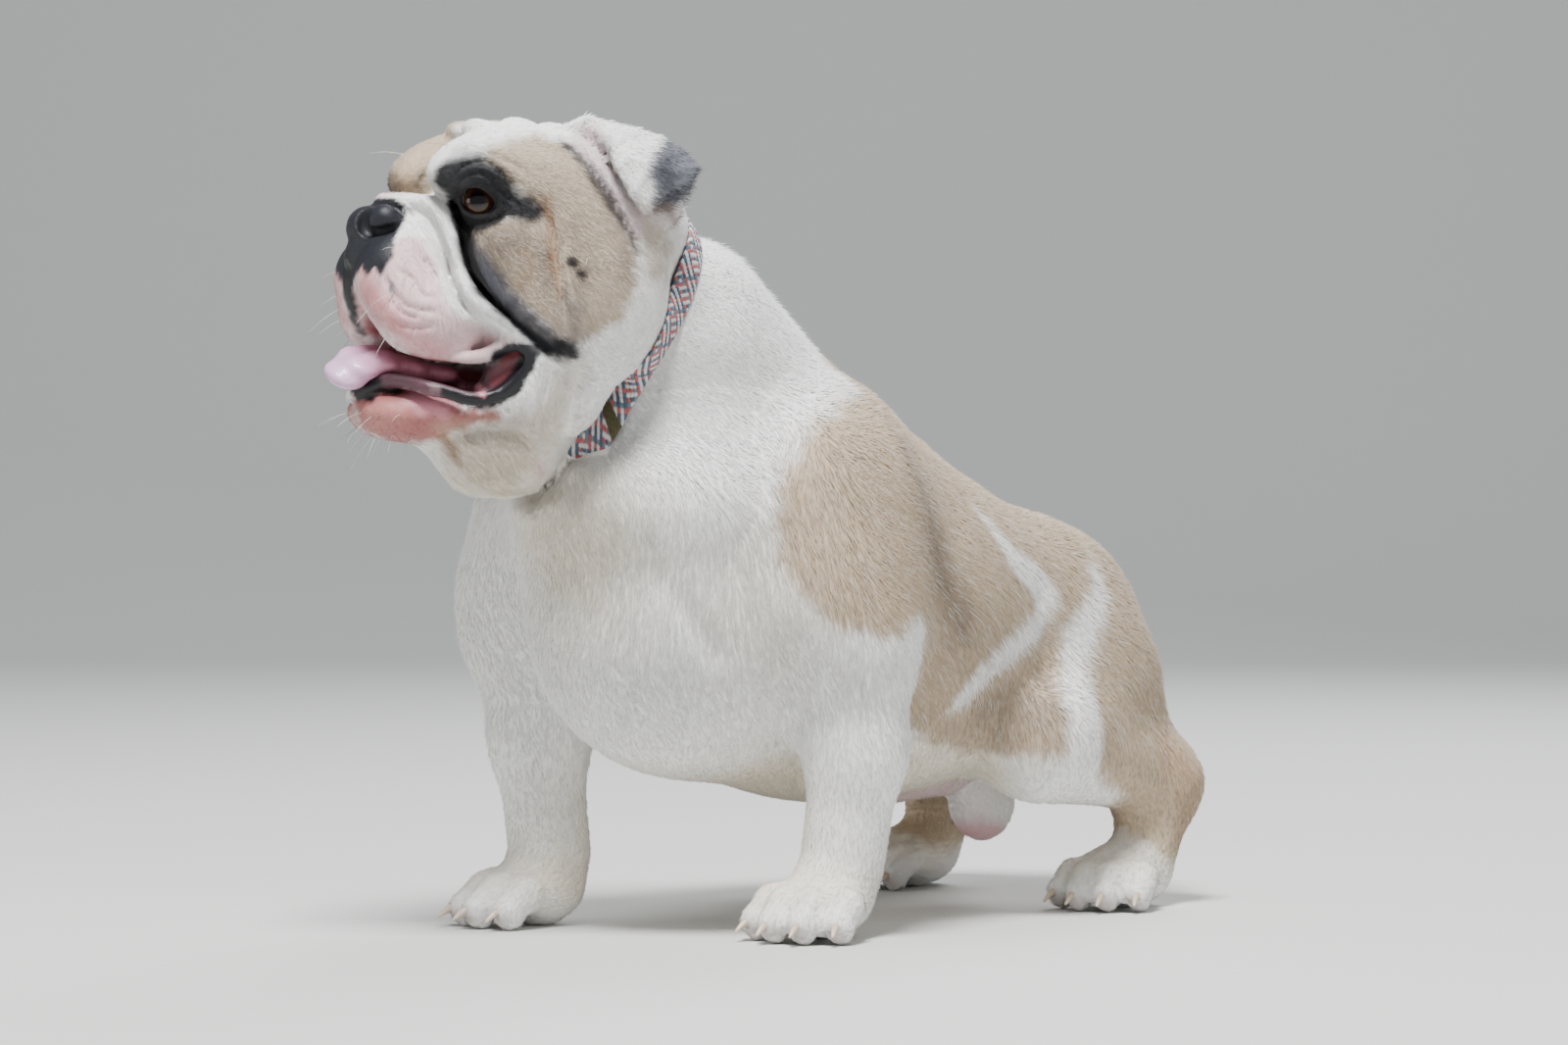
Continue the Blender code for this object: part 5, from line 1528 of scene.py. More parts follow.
    def tones(self, points: Array) -> tuple[Array, Array]:
        """Colour and roughness at places on the skin.

        Each mark's share is a smooth step of its distance, moved in and out by two noises.

        Args:
            points: places in the design frame.

        Returns:
            Colours, as rows of three, and roughness.
        """
        wave = 0.6 * lattice_noise(points, 8, 1) + 0.4 * lattice_noise(points, 3, 2)
        drift = lattice_noise(points, 34, 3)
        colour = np.tile(np.array(self.base), (len(points), 1))
        rough = np.full(len(points), self.coat_gloss)
        head_points = self.dog.head.inward(points)
        near_head = within(head_points, np.zeros(3), self.head_reach)
        views = {Space.HEAD: (head_points, near_head), Space.BODY: (points, np.ones(len(points), bool))}
        for mark in self.marks:
            seen, here = views[mark.space]
            if isinstance(mark.form, Egg | Rope):
                here = here & within(seen, mark.form.middle, mark.form.reach + mark.edge + mark.ragged + 5)
            gap = mark.form.distance(seen[here]) + mark.ragged * wave[here]
            share = mark.strength * (1 - fade(gap, -mark.edge, mark.edge))
            colour[here] += (np.array(mark.colour) - colour[here]) * share[:, None]
            if mark.gloss is not None:
                rough[here] += (mark.gloss - rough[here]) * share
        colour *= (1 + 0.07 * drift + 0.05 * wave)[:, None]
        return np.clip(colour, DARKEST, PALEST), rough


# Finishes

class Slot(Enum):
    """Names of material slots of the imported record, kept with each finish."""

    FAWN = "fawn_coat"
    CREAM = "cream_coat"
    TONGUE = "tongue_skin"
    EYE = "eye"
    BRAID = "collar_braid"


class Effects:
    """Shader node groups that several finishes share, each made once."""

    @staticmethod
    def start(name: str, inputs: dict, output: str) -> tuple[NodeTree, Node, Node]:
        """New node group with named sockets, for numbers and, where the name is Colour, for a colour.

        Args:
            name: name of the group.
            inputs: default of each input by name.
            output: name of the output.

        Returns:
            The group, its input node and its output node.
        """
        group = bpy.data.node_groups.new(name, "ShaderNodeTree")
        kinds = {"Colour": "NodeSocketColor"}
        for label, value in inputs.items():
            kind = kinds.get(label, "NodeSocketFloat")
            group.interface.new_socket(label, in_out="INPUT", socket_type=kind).default_value = value
        group.interface.new_socket(output, in_out="OUTPUT", socket_type=kinds.get(output, "NodeSocketFloat"))
        return group, group.nodes.new("NodeGroupInput"), group.nodes.new("NodeGroupOutput")

    @staticmethod
    def node(tree: NodeTree, kind: str, inputs: dict | None = None, operation: str = "",
             group: NodeTree | None = None) -> Node:
        """New node with its inputs set or linked.

        Args:
            tree: where the node goes.
            kind: its type.
            inputs: a number, or a socket to link from, for each input by name or place.
            operation: what a maths node does.
            group: the shared group that a group node holds.

        Returns:
            The node.
        """
        node = tree.nodes.new(kind)
        if group:
            node.node_tree = group
        if operation:
            node.operation = operation
        for key, value in (inputs or {}).items():
            if isinstance(value, bpy.types.NodeSocket):
                tree.links.new(value, node.inputs[key])
            else:
                node.inputs[key].default_value = value
        return node

    @classmethod
    def mottle(cls) -> NodeTree:
        """Colour made a little lighter and darker by noise: colour times (1 - amount + 2 amount noise).

        Returns:
            The group, made on the first call.
        """
        if "mottle" in bpy.data.node_groups:
            return bpy.data.node_groups["mottle"]
        group, start, end = cls.start("mottle", {"Colour": (1, 1, 1, 1), "Scale": 400.0, "Amount": 0.1}, "Colour")
        place = cls.node(group, "ShaderNodeTexCoord")
        noise = cls.node(group, "ShaderNodeTexNoise", {
            "Detail": 3.0, "Vector": place.outputs["Object"], "Scale": start.outputs["Scale"]})
        centred = cls.node(group, "ShaderNodeMath", {0: noise.outputs["Fac"], 1: 2.0, 2: -1.0}, "MULTIPLY_ADD")
        share = cls.node(group, "ShaderNodeMath", {0: centred.outputs[0], 1: start.outputs["Amount"], 2: 1.0},
                         "MULTIPLY_ADD")
        scaled = cls.node(group, "ShaderNodeVectorMath", {0: start.outputs["Colour"], "Scale": share.outputs[0]},
                          "SCALE")
        group.links.new(scaled.outputs[0], end.inputs["Colour"])
        return group

    @classmethod
    def grain(cls) -> NodeTree:
        """Height of a fine grain: small cells mixed with noise by the pebble share.

        Returns:
            The group, made on the first call.
        """
        if "grain" in bpy.data.node_groups:
            return bpy.data.node_groups["grain"]
        group, start, end = cls.start("grain", {"Scale": 900.0, "Pebble": 0.3}, "Height")
        place = cls.node(group, "ShaderNodeTexCoord")
        spots = {"Vector": place.outputs["Object"], "Scale": start.outputs["Scale"]}
        noise = cls.node(group, "ShaderNodeTexNoise", spots | {"Detail": 4.0})
        cells = cls.node(group, "ShaderNodeTexVoronoi", spots)
        mix = cls.node(group, "ShaderNodeMix", {
            0: start.outputs["Pebble"], 2: noise.outputs["Fac"], 3: cells.outputs["Distance"]})
        group.links.new(mix.outputs[0], end.inputs["Height"])
        return group


@dataclass(frozen=True)
class Finish:
    """Finish of a piece whose colour and roughness come from its own tone attribute."""

    name: str
    slot: Slot
    mottle_scale: float = 500.0
    mottle_amount: float = 0.12
    grain_scale: float = 1200.0
    pebble: float = 0.3
    bump: float = 0.0002
    coat: float = 0.0
    sheen: float = 0.0
    specular: float = 0.5
    coat_rough: float = 0.06
    sheen_rough: float = 0.5

    def material(self) -> bpy.types.Material:
        """Make the material, or find it if it is already made.

        Returns:
            The material.
        """
        if self.name in bpy.data.materials:
            return bpy.data.materials[self.name]
        material = bpy.data.materials.new(self.name)
        material.use_nodes = True
        tree = material.node_tree
        shader = tree.nodes["Principled BSDF"]
        tone = Effects.node(tree, "ShaderNodeAttribute")
        tone.attribute_name = "tone"
        mottle = Effects.node(tree, "ShaderNodeGroup", {
            "Scale": self.mottle_scale, "Amount": self.mottle_amount, "Colour": tone.outputs["Color"],
        }, group=Effects.mottle())
        tree.links.new(mottle.outputs["Colour"], shader.inputs["Base Color"])
        tree.links.new(tone.outputs["Alpha"], shader.inputs["Roughness"])
        if self.bump:
            grain = Effects.node(tree, "ShaderNodeGroup", {"Scale": self.grain_scale, "Pebble": self.pebble},
                                 group=Effects.grain())
            bump = Effects.node(tree, "ShaderNodeBump", {"Distance": self.bump, "Height": grain.outputs["Height"]})
            tree.links.new(bump.outputs["Normal"], shader.inputs["Normal"])
        settings = {"Coat Weight": self.coat, "Coat Roughness": self.coat_rough, "Sheen Weight": self.sheen,
                    "Sheen Roughness": self.sheen_rough, "Specular IOR Level": self.specular}
        for name, value in settings.items():
            shader.inputs[name].default_value = value
        return material


SKIN_FINISH = Finish("bulldog_skin", Slot.CREAM, 700, 0.14, 1300, 0.45, 0.00025, specular=0.3)
FAWN_COAT_FINISH = Finish("short_fawn_coat", Slot.FAWN, 260, 0.10, 900, 0.0, 0.0, sheen=0.05, specular=0.25)
CREAM_COAT_FINISH = Finish("short_cream_coat", Slot.CREAM, 260, 0.08, 900, 0.0, 0.0, sheen=0.08, specular=0.25)
WHISKER_FINISH = Finish("whisker_hair", Slot.CREAM, 300, 0.10, 900, 0.0, 0.0)
EYE_FINISH = Finish("moist_eye", Slot.EYE, 900, 0.08, 600, 0.0, 0.0, coat=0.3, specular=0.3)
TONGUE_FINISH = Finish("moist_tongue", Slot.TONGUE, 500, 0.10, 900, 0.6, 0.0003, coat=0.25)
CLAW_FINISH = Finish("horn", Slot.CREAM, 600, 0.15, 1500, 0.0, 0.00005, coat=0.2)
BRAID_FINISH = Finish("braided_cord", Slot.BRAID, 1500, 0.22, 2600, 0.1, 0.0003)


# Making pieces

@dataclass
class Sheet:
    """Points, faces and per-point colours of one piece, in the design frame."""

    points: Array
    faces: Array
    colour: Array
    rough: Array | float

    def turned_out(self) -> "Sheet":
        """The same piece with its faces turned so that its volume is positive.

        Returns:
            The turned piece.
        """
        p, f = self.points, self.faces
        volume = 0.0
        for k in range(1, f.shape[1] - 1):
            volume += np.einsum("ij,ij->i", p[f[:, 0]], np.cross(p[f[:, k]], p[f[:, k + 1]])).sum()
        faces = f if volume > 0 else f[:, ::-1]
        return Sheet(p, faces, self.colour, self.rough)


@dataclass
class Bench:
    """Puts pieces into the scene, moved from the design frame to where the solids stand."""

    origin: Array

    def piece(self, name: str, sheet: Sheet, finish: Finish, replaces: Sequence[str] = (),
              normals: Array | None = None, uv: Array | None = None) -> Object:
        """Make an object of a sheet and tie it to the model.

        Args:
            name: name of the piece.
            sheet: its points, faces and tones.
            finish: its finish.
            replaces: solids that it stands for.
            normals: shading normal of each point, where it isn't the surface's own.
            uv: place of each face corner on the skin's unwrap, for a piece of the coat.

        Returns:
            The new object.
        """
        mesh = bpy.data.meshes.new(name)
        faces = np.ascontiguousarray(sheet.faces, np.int32)
        mesh.vertices.add(len(sheet.points))
        mesh.vertices.foreach_set("co", ((sheet.points + self.origin) * MM).ravel().astype(np.float32))
        mesh.loops.add(faces.size)
        mesh.loops.foreach_set("vertex_index", faces.ravel())
        mesh.polygons.add(len(faces))
        mesh.polygons.foreach_set("loop_start", np.arange(0, faces.size, faces.shape[1], dtype=np.int32))
        mesh.update(calc_edges=True)
        mesh.shade_smooth()
        tone = mesh.color_attributes.new("tone", "FLOAT_COLOR", "POINT")
        rough = np.broadcast_to(sheet.rough, len(sheet.points))
        rgba = np.column_stack([sheet.colour, rough]).astype(np.float32)
        tone.data.foreach_set("color", rgba.ravel())
        if uv is not None:
            mesh.uv_layers.new(name=UV_MAP).uv.foreach_set("vector", uv.ravel().astype(np.float32))
        if normals is not None:
            mesh.normals_split_custom_set_from_vertices(normals.astype(np.float32))
        mesh.materials.append(finish.material())
        obj = bpy.data.objects.new(name, mesh)
        bpy.context.collection.objects.link(obj)
        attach(obj, "root")
        if replaces:
            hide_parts(*replaces)
        log.info("%s: %d faces", name, len(faces))
        return obj


def ring_faces(rings: int, sides: int, first: int, ends: tuple[int, int]) -> Array:
    """Three-cornered faces of a closed form: two in each gap between rings, and a fan at each end.

    Args:
        rings: how many rings of points.
        sides: points in a ring.
        first: number of the first ring's first point.
        ends: numbers of the points that close the first and the last ring.

    Returns:
        Rows of point numbers.
    """
    i, j = np.meshgrid(np.arange(rings - 1), np.arange(sides), indexing="ij")
    a, b = (first + i * sides + j).ravel(), (first + i * sides + (j + 1) % sides).ravel()
    j = first + np.arange(sides)
    k = np.roll(j, -1)
    last = (rings - 1) * sides
    near, far = (np.full(sides, end) for end in ends)
    return np.vstack([
        np.stack([a, b, b + sides], 1), np.stack([a, b + sides, a + sides], 1),
        np.stack([near, k, j], 1), np.stack([far, last + j, last + k], 1),
    ])


def tube(line: Array, radii: Array, sides: int) -> tuple[Array, Array]:
    """Closed round tube along a line: rings of points square to it, and a point at each end.

    Args:
        line: points along the middle.
        radii: radius at each.
        sides: points in a ring.

    Returns:
        Points and three-cornered faces, turned outward.
    """
    way = unit(np.gradient(line, axis=0))
    first = unit(np.cross(way, OFF_AXIS))
    second = np.cross(way, first)
    turns = 2 * np.pi * np.arange(sides) / sides
    ring = first[:, None] * np.cos(turns)[None, :, None] + second[:, None] * np.sin(turns)[None, :, None]
    points = line[:, None] + ring * radii[:, None, None]
    body = points.reshape(-1, 3)
    points = np.vstack([body, line[0] - way[0] * radii[0] * 0.5, line[-1] + way[-1] * radii[-1]])
    return points, ring_faces(len(line), sides, 0, (len(body), len(body) + 1))


def merged(parts: Sequence[tuple[Array, Array]]) -> tuple[Array, Array, Array]:
    """Several meshes as one.

    Args:
        parts: points and faces of each.

    Returns:
        Points, faces, and which part each point comes from.
    """
    points, faces, owner, start = [], [], [], 0
    for k, (p, f) in enumerate(parts):
        points.append(p)
        faces.append(f + start)
        owner.append(np.full(len(p), k))
        start += len(p)
    return np.vstack(points), np.vstack(faces), np.concatenate(owner)


@dataclass
class Skin:
    """The one skin of the dog, worked out as the surface of its form."""

    dog: Bulldog
    markings: Markings
    cell: float = 2.2
    growth: float = 42.0
    core: float = 78.0
    lens_middle: Row = (0, 62, -15)
    low: Row = (-240, -460, -30)
    high: Row = (220, 340, 590)
    island_angle: float = 1.15
    island_margin: float = 0.003

    def build(self) -> None:
        """Work out points, faces, normals and tones."""
        middle = self.dog.head.outward(self.lens_middle)
        net = SurfaceNet(self.dog.skin, Lens(middle, self.cell, self.growth, self.core))
        self.points, self.faces = net.build(self.low, self.high)
        self.normals = unit(net.slope(self.points))
        self.colour, self.rough = self.markings.tones(self.points)

    def dress(self, bench: Bench, replaced: Sequence[str]) -> Object:
        """Put the skin in the scene in place of the flesh solids, with an unwrap for its coat.

        Args:
            bench: where pieces are made.
            replaced: solids that the skin stands for.

        Returns:
            The object.
        """
        sheet = Sheet(self.points, self.faces, self.colour, self.rough)
        self.piece = bench.piece("dog_skin", sheet, SKIN_FINISH, replaced)
        self.uv = self.unwrapped()
        return self.piece

    def unwrapped(self) -> Array:
        """Lay the skin out flat by Blender's projection of its own faces.

        Returns:
            The place of each corner of each face on that map.
        """
        mesh = self.piece.data
        mesh.uv_layers.new(name=UV_MAP)
        bpy.ops.object.select_all(action="DESELECT")
        self.piece.select_set(True)
        bpy.context.view_layer.objects.active = self.piece
        bpy.ops.object.mode_set(mode="EDIT")
        bpy.ops.mesh.select_all(action="SELECT")
        bpy.ops.uv.smart_project(angle_limit=self.island_angle, island_margin=self.island_margin,
                                 scale_to_bounds=True)
        bpy.ops.object.mode_set(mode="OBJECT")
        uv = np.empty(2 * len(mesh.loops), np.float32)
        mesh.uv_layers[UV_MAP].uv.foreach_get("vector", uv)
        return uv.reshape(len(self.faces), -1, 2).astype(float)


@dataclass
class Roots:
    """Where the tufts of one coat piece stand: rows of places, normals, tones and places on the unwrap."""

    points: Array
    normals: Array
    colour: Array
    rough: Array
    uv: Array


@dataclass
class Coat:
    """Short flat tufts over the skin, each a closed three-sided spike that follows the lie of the coat."""

    dog: Bulldog
    skin: Skin
    total: int = 338000
    most: int = 48800  # keeps each piece under 200,000 triangles
    seed: int = 11
    patch: float = 0.0015
    face_length: float = 4.4
    body_length: float = 8.6
    face_width: float = 0.42
    body_width: float = 0.74
    least_rough: float = 0.46
    full_rough: float = 0.74
    lowest: float = 0.3
    sunk: float = 0.35
    pale_share: float = 0.13
    nape: Rope = field(default_factory=lambda: Rope(
        [(-30, -185, 520), (-12, -120, 455), (0, -40, 385)], [24, 30, 24]))
    names: Sequence[tuple[str, Finish]] = (
        ("coat_head_left", FAWN_COAT_FINISH), ("coat_head_right", FAWN_COAT_FINISH),
        ("coat_neck_left", CREAM_COAT_FINISH), ("coat_neck_right", CREAM_COAT_FINISH),
        ("coat_trunk_left", FAWN_COAT_FINISH), ("coat_trunk_right", FAWN_COAT_FINISH),
        ("coat_legs", CREAM_COAT_FINISH),
    )

    def __post_init__(self) -> None:
        """Start the one source of chance."""
        self.rng = np.random.default_rng(self.seed)

    def over_body(self, points: Array) -> Array:
        """0 on the face, growing to 1 over the neck and the body."""
        return fade(self.dog.from_face(points), 95, 240)

    def ahead_of_collar(self, q: Array) -> Array:
        """Distance of head points ahead of the middle plane of the collar."""
        return (q - Collar.middle) @ unit(np.array(Collar.normal))

    def zone(self, points: Array) -> Array:
        """Number of the coat piece that a place belongs to.

        Args:
            points: places in millimetres.

        Returns:
            The number at each.
        """
        q = self.dog.head.inward(points)
        face = (self.ahead_of_collar(q) > 0) & (points[:, 2] > 300)
        neck = ~face & (points[:, 1] < -115 + 0.2 * points[:, 2]) & (points[:, 2] > 175)
        low = ~face & ~neck & (points[:, 2] < 128)
        right = np.where(face, q[:, 0], points[:, 0]) < 0
        return np.where(low, 6, np.where(face, 0, np.where(neck, 2, 4)) + right)

    def density(self, points: Array, rough: Array) -> Array:
        """How closely tufts stand: close on the face and paws, thin on pink skin, none on bare skin.

        None stand on the eyes, under the collar or on the soles either.

        Args:
            points: places in millimetres.
            rough: roughness of the skin at each.

        Returns:
            The density at each.
        """
        q = self.dog.head.inward(points)
        away = np.linalg.norm(np.abs(q) * (1, 0, 0) + q * (0, 1, 1) - self.dog.head.eye, axis=1)
        band = (np.abs(self.ahead_of_collar(q)) < Collar.width / 2) & (
            np.linalg.norm(q - Collar.middle, axis=1) < Collar.reach + 4)
        paw = 1 - fade(points[:, 2], 40, 110)
        close = 1 + 3.4 * np.maximum(1 - self.over_body(points), 0.45 * paw)
        haired = fade(rough, self.least_rough, self.full_rough)
        stands = (rough > self.least_rough) & (away > self.dog.head.eye_radius + 4.2) & ~band & (points[:, 2] > 3)
        return close * (0.25 + 0.75 * haired) * stands

    def roots(self) -> list[Roots]:
        """Sow each piece's tufts on the skin, evenly by the weight of area times density.

        Returns:
            The roots of each piece, in the order of the names.
        """
        skin = self.skin
        corners = np.vstack([skin.faces[:, [0, 1, 2]], skin.faces[:, [0, 2, 3]]])
        uv = np.vstack([skin.uv[:, [0, 1, 2]], skin.uv[:, [0, 2, 3]]])
        p = skin.points[corners]
        area = np.linalg.norm(np.cross(p[:, 1] - p[:, 0], p[:, 2] - p[:, 0]), axis=1) / 2
        middle = p.mean(1)
        weight = area * self.density(middle, skin.rough[corners].mean(1))
        zone = self.zone(middle)
        out = []
        for k in range(len(self.names)):
            mine = np.flatnonzero((zone == k) & (weight > 0))
            ends = np.cumsum(weight[mine])
            count = min(self.most, round(self.total * ends[-1] / weight.sum()))
            steps = (np.arange(count) + self.rng.random(count)) / count * ends[-1]
            face = mine[np.minimum(np.searchsorted(ends, steps), len(mine) - 1)]
            share = self.rng.random((count, 2))
            over = share.sum(1) > 1
            share[over] = 1 - share[over]
            share = np.column_stack([1 - share.sum(1), share])[..., None]
            at = corners[face]
            out.append(Roots(
                (skin.points[at] * share).sum(1), unit((skin.normals[at] * share).sum(1)),
                (skin.colour[at] * share).sum(1), (skin.rough[at] * share[..., 0]).sum(1),
                (uv[face] * share).sum(1),
            ))
        return out

    def lie(self, points: Array, normals: Array) -> Array:
        """Way the coat lies: back from the nose over the head, back and down over the body, down the legs.

        The ways of these parts are mixed by smooth steps, laid flat on the skin and turned a little
        by noise.

        Args:
            points: places in millimetres.
            normals: the skin's normal at each.

        Returns:
            A direction for each, of length one.
        """
        head = self.dog.head
        q = head.inward(points)
        swept = unit(q - (0, 130, 12)) + (0, -0.15, -0.25)
        over_head = unit(swept @ head.axes)
        flank = np.abs(normals[:, :1])
        trunk = np.array((0, 1.0, -0.25)) + flank * (0, -0.1, -0.55)
        front = fade(-normals[:, 1], 0.15, 0.75)[:, None] * fade(points[:, 2], 130, 200)[:, None]
        trunk = trunk + front * (0, -0.75, -1.1)
        leg = (1 - fade(points[:, 2], 110, 200))[:, None]
        trunk = trunk + leg * (np.array((0, 0.12, -1.0)) - trunk)
        foot = (1 - fade(points[:, 2], 34, 58))[:, None]
        trunk = unit(trunk + foot * (np.array((0, -1.0, -0.35)) - trunk))
        over = fade(self.dog.from_face(points), 165, 255)[:, None]
        way = over_head + (trunk - over_head) * over
        way = unit(way - (way * normals).sum(1, keepdims=True) * normals)
        turn = 0.30 * lattice_noise(points, 42, 7) + 0.22 * lattice_noise(points, 11, 8)
        turn = (turn + self.rng.normal(0, 0.16, len(points)))[:, None]
        return way * np.cos(turn) + np.cross(normals, way) * np.sin(turn)

    def spikes(self, roots: Roots) -> tuple[Sheet, Array, Array]:
        """Tufts of one piece: a three-cornered base sunk in the skin, and a tip.

        Length, width and lift go from the face's to the body's by smooth steps; along the nape
        the tufts are longer and stand up more.

        Args:
            roots: where they stand.

        Returns:
            The sheet, the shading normals of its points and the unwrap places of its corners.
        """
        rng, count = self.rng, len(roots.points)
        body = self.over_body(roots.points)
        z = roots.points[:, 2]
        haired = fade(roots.rough, self.least_rough, self.full_rough)
        crest = 1 - fade(self.nape.distance(roots.points), -4, 26)
        length = self.face_length + (self.body_length - self.face_length) * body
        length = np.minimum(length, 4 + 5 * fade(z, 60, 210)) * (0.5 + 0.5 * haired) * (1 + 0.9 * crest)
        length = (length * rng.uniform(0.7, 1.3, count))[:, None]
        width = self.face_width + (self.body_width - self.face_width) * body * fade(z, 20, 120)
        width = (width * (0.7 + 0.3 * haired) * rng.uniform(0.75, 1.25, count))[:, None]
        lift = np.radians(8 + 5 * body + 12 * crest + rng.uniform(-4, 7, count))[:, None]
        n = roots.normals
        flat = self.lie(roots.points, n)
        side = np.cross(flat, n)
        foot = roots.points - n * self.sunk
        tip = roots.points + flat * np.cos(lift) * length + n * np.sin(lift) * length
        ridge = foot + n * (0.45 * width + 0.2) - flat * 0.4 * width
        points = np.stack([foot + side * width / 2, foot - side * width / 2, ridge, tip], 1)
        points[..., 2] = np.maximum(points[..., 2], self.lowest)
        shade = np.stack([unit(n + 0.3 * side), unit(n - 0.3 * side), n, unit(n + 0.15 * flat)], 1)
        jitter = (1 + rng.normal(0, 0.06, count))[:, None]
        cast = rng.normal(0, 0.02, (count, 3))
        colour = roots.colour * jitter * (1 + cast)
        pale = (rng.random(count) < self.pale_share)[:, None] * (roots.colour.max(1) > 0.2)[:, None]
        colour = colour + (np.array(Tone.WHITE) * 0.9 - colour) * pale * 0.40
        # Each tuft is painted darker at its sunk base than at its tip, as painted shade among the roots of the
        # coat.
        tones = colour[:, None] * np.array((0.87, 0.87, 0.95, 1.06))[None, :, None]
        rough = np.repeat(np.maximum(roots.rough, 0.55), 4)
        faces = np.arange(count)[:, None, None] * 4 + np.array([[0, 2, 1], [0, 1, 3], [1, 2, 3], [2, 0, 3]])
        spread = np.array([(-1, -1), (1, -1), (0, 1), (0, -0.2)]) * self.patch
        uv = np.clip(roots.uv, 0.002, 0.998)[:, None] + spread
        corners = uv.reshape(-1, 2)[faces.reshape(-1)]
        tones = np.clip(tones, DARKEST, PALEST).reshape(-1, 3)
        return Sheet(points.reshape(-1, 3), faces.reshape(-1, 3), tones, rough), shade.reshape(-1, 3), corners

    def dress(self, bench: Bench) -> None:
        """Put every piece of the coat over the skin.

        Args:
            bench: where pieces are made.
        """
        for (name, finish), roots in zip(self.names, self.roots()):
            sheet, shade, uv = self.spikes(roots)
            bench.piece(name, sheet, finish, normals=shade, uv=uv)


@dataclass
class Whiskers:
    """Stiff hairs of the lips, the chin, the cheek moles and the brows, as one piece of thin tubes."""

    dog: Bulldog
    skin: Skin
    seed: int = 5
    rows: Sequence[Rows] = (
        ((34, 112, -14), (40, 98, -34)), ((30, 114, -28), (40, 92, -48)), ((26, 112, -44), (38, 92, -58)),
        ((12, 112, -118), (34, 92, -118)), ((8, 106, -128), (28, 80, -134)),
    )
    per_row: int = 4
    root: float = 0.15
    lengths: Row = (12, 25)
    dark: Colour = (0.06, 0.05, 0.05)
    pale: Colour = (0.78, 0.75, 0.70)
    rough: float = 0.45
    singles: Rows = ((88, 0, -6), (90, -4, 2), (86, 4, 0), (44, 84, 58), (48, 80, 56), (38, 88, 58))

    def dress(self, bench: Bench) -> None:
        """Each whisker leaves the nearest skin, forward and outward, and droops: p = a + w L t + g L t^2.

        Args:
            bench: where pieces are made.
        """
        rng = np.random.default_rng(self.seed)
        head = self.dog.head
        spots = [np.array(p, float) for p in self.singles]
        for first, last in self.rows:
            spots += list(np.linspace(first, last, self.per_row))
        t = np.linspace(0, 1, 6)[:, None]
        parts = []
        for spot in spots:
            for side in (LEFT, RIGHT):
                place = head.outward((spot + rng.normal(0, 1.5, 3)) * (side, 1, 1))
                at = int(np.argmin(((self.skin.points - place) ** 2).sum(1)))
                root, normal = self.skin.points[at], self.skin.normals[at]
                ahead = np.array((side * 0.35, 0.45, -0.35)) @ head.axes
                way = unit(normal * 0.8 + ahead + rng.normal(0, 0.12, 3))
                length = rng.uniform(*self.lengths)
                line = root - normal * 0.4 + way * t * length + np.array((0, 0, -0.22)) * length * t ** 2
                parts.append(tube(line, self.root * (1 - 0.75 * t[:, 0]), 5))
        points, faces, owner = merged(parts)
        colour = np.where((owner % 5 == 0)[:, None], self.dark, self.pale)
        bench.piece("whiskers", Sheet(points, faces, colour, self.rough), WHISKER_FINISH)


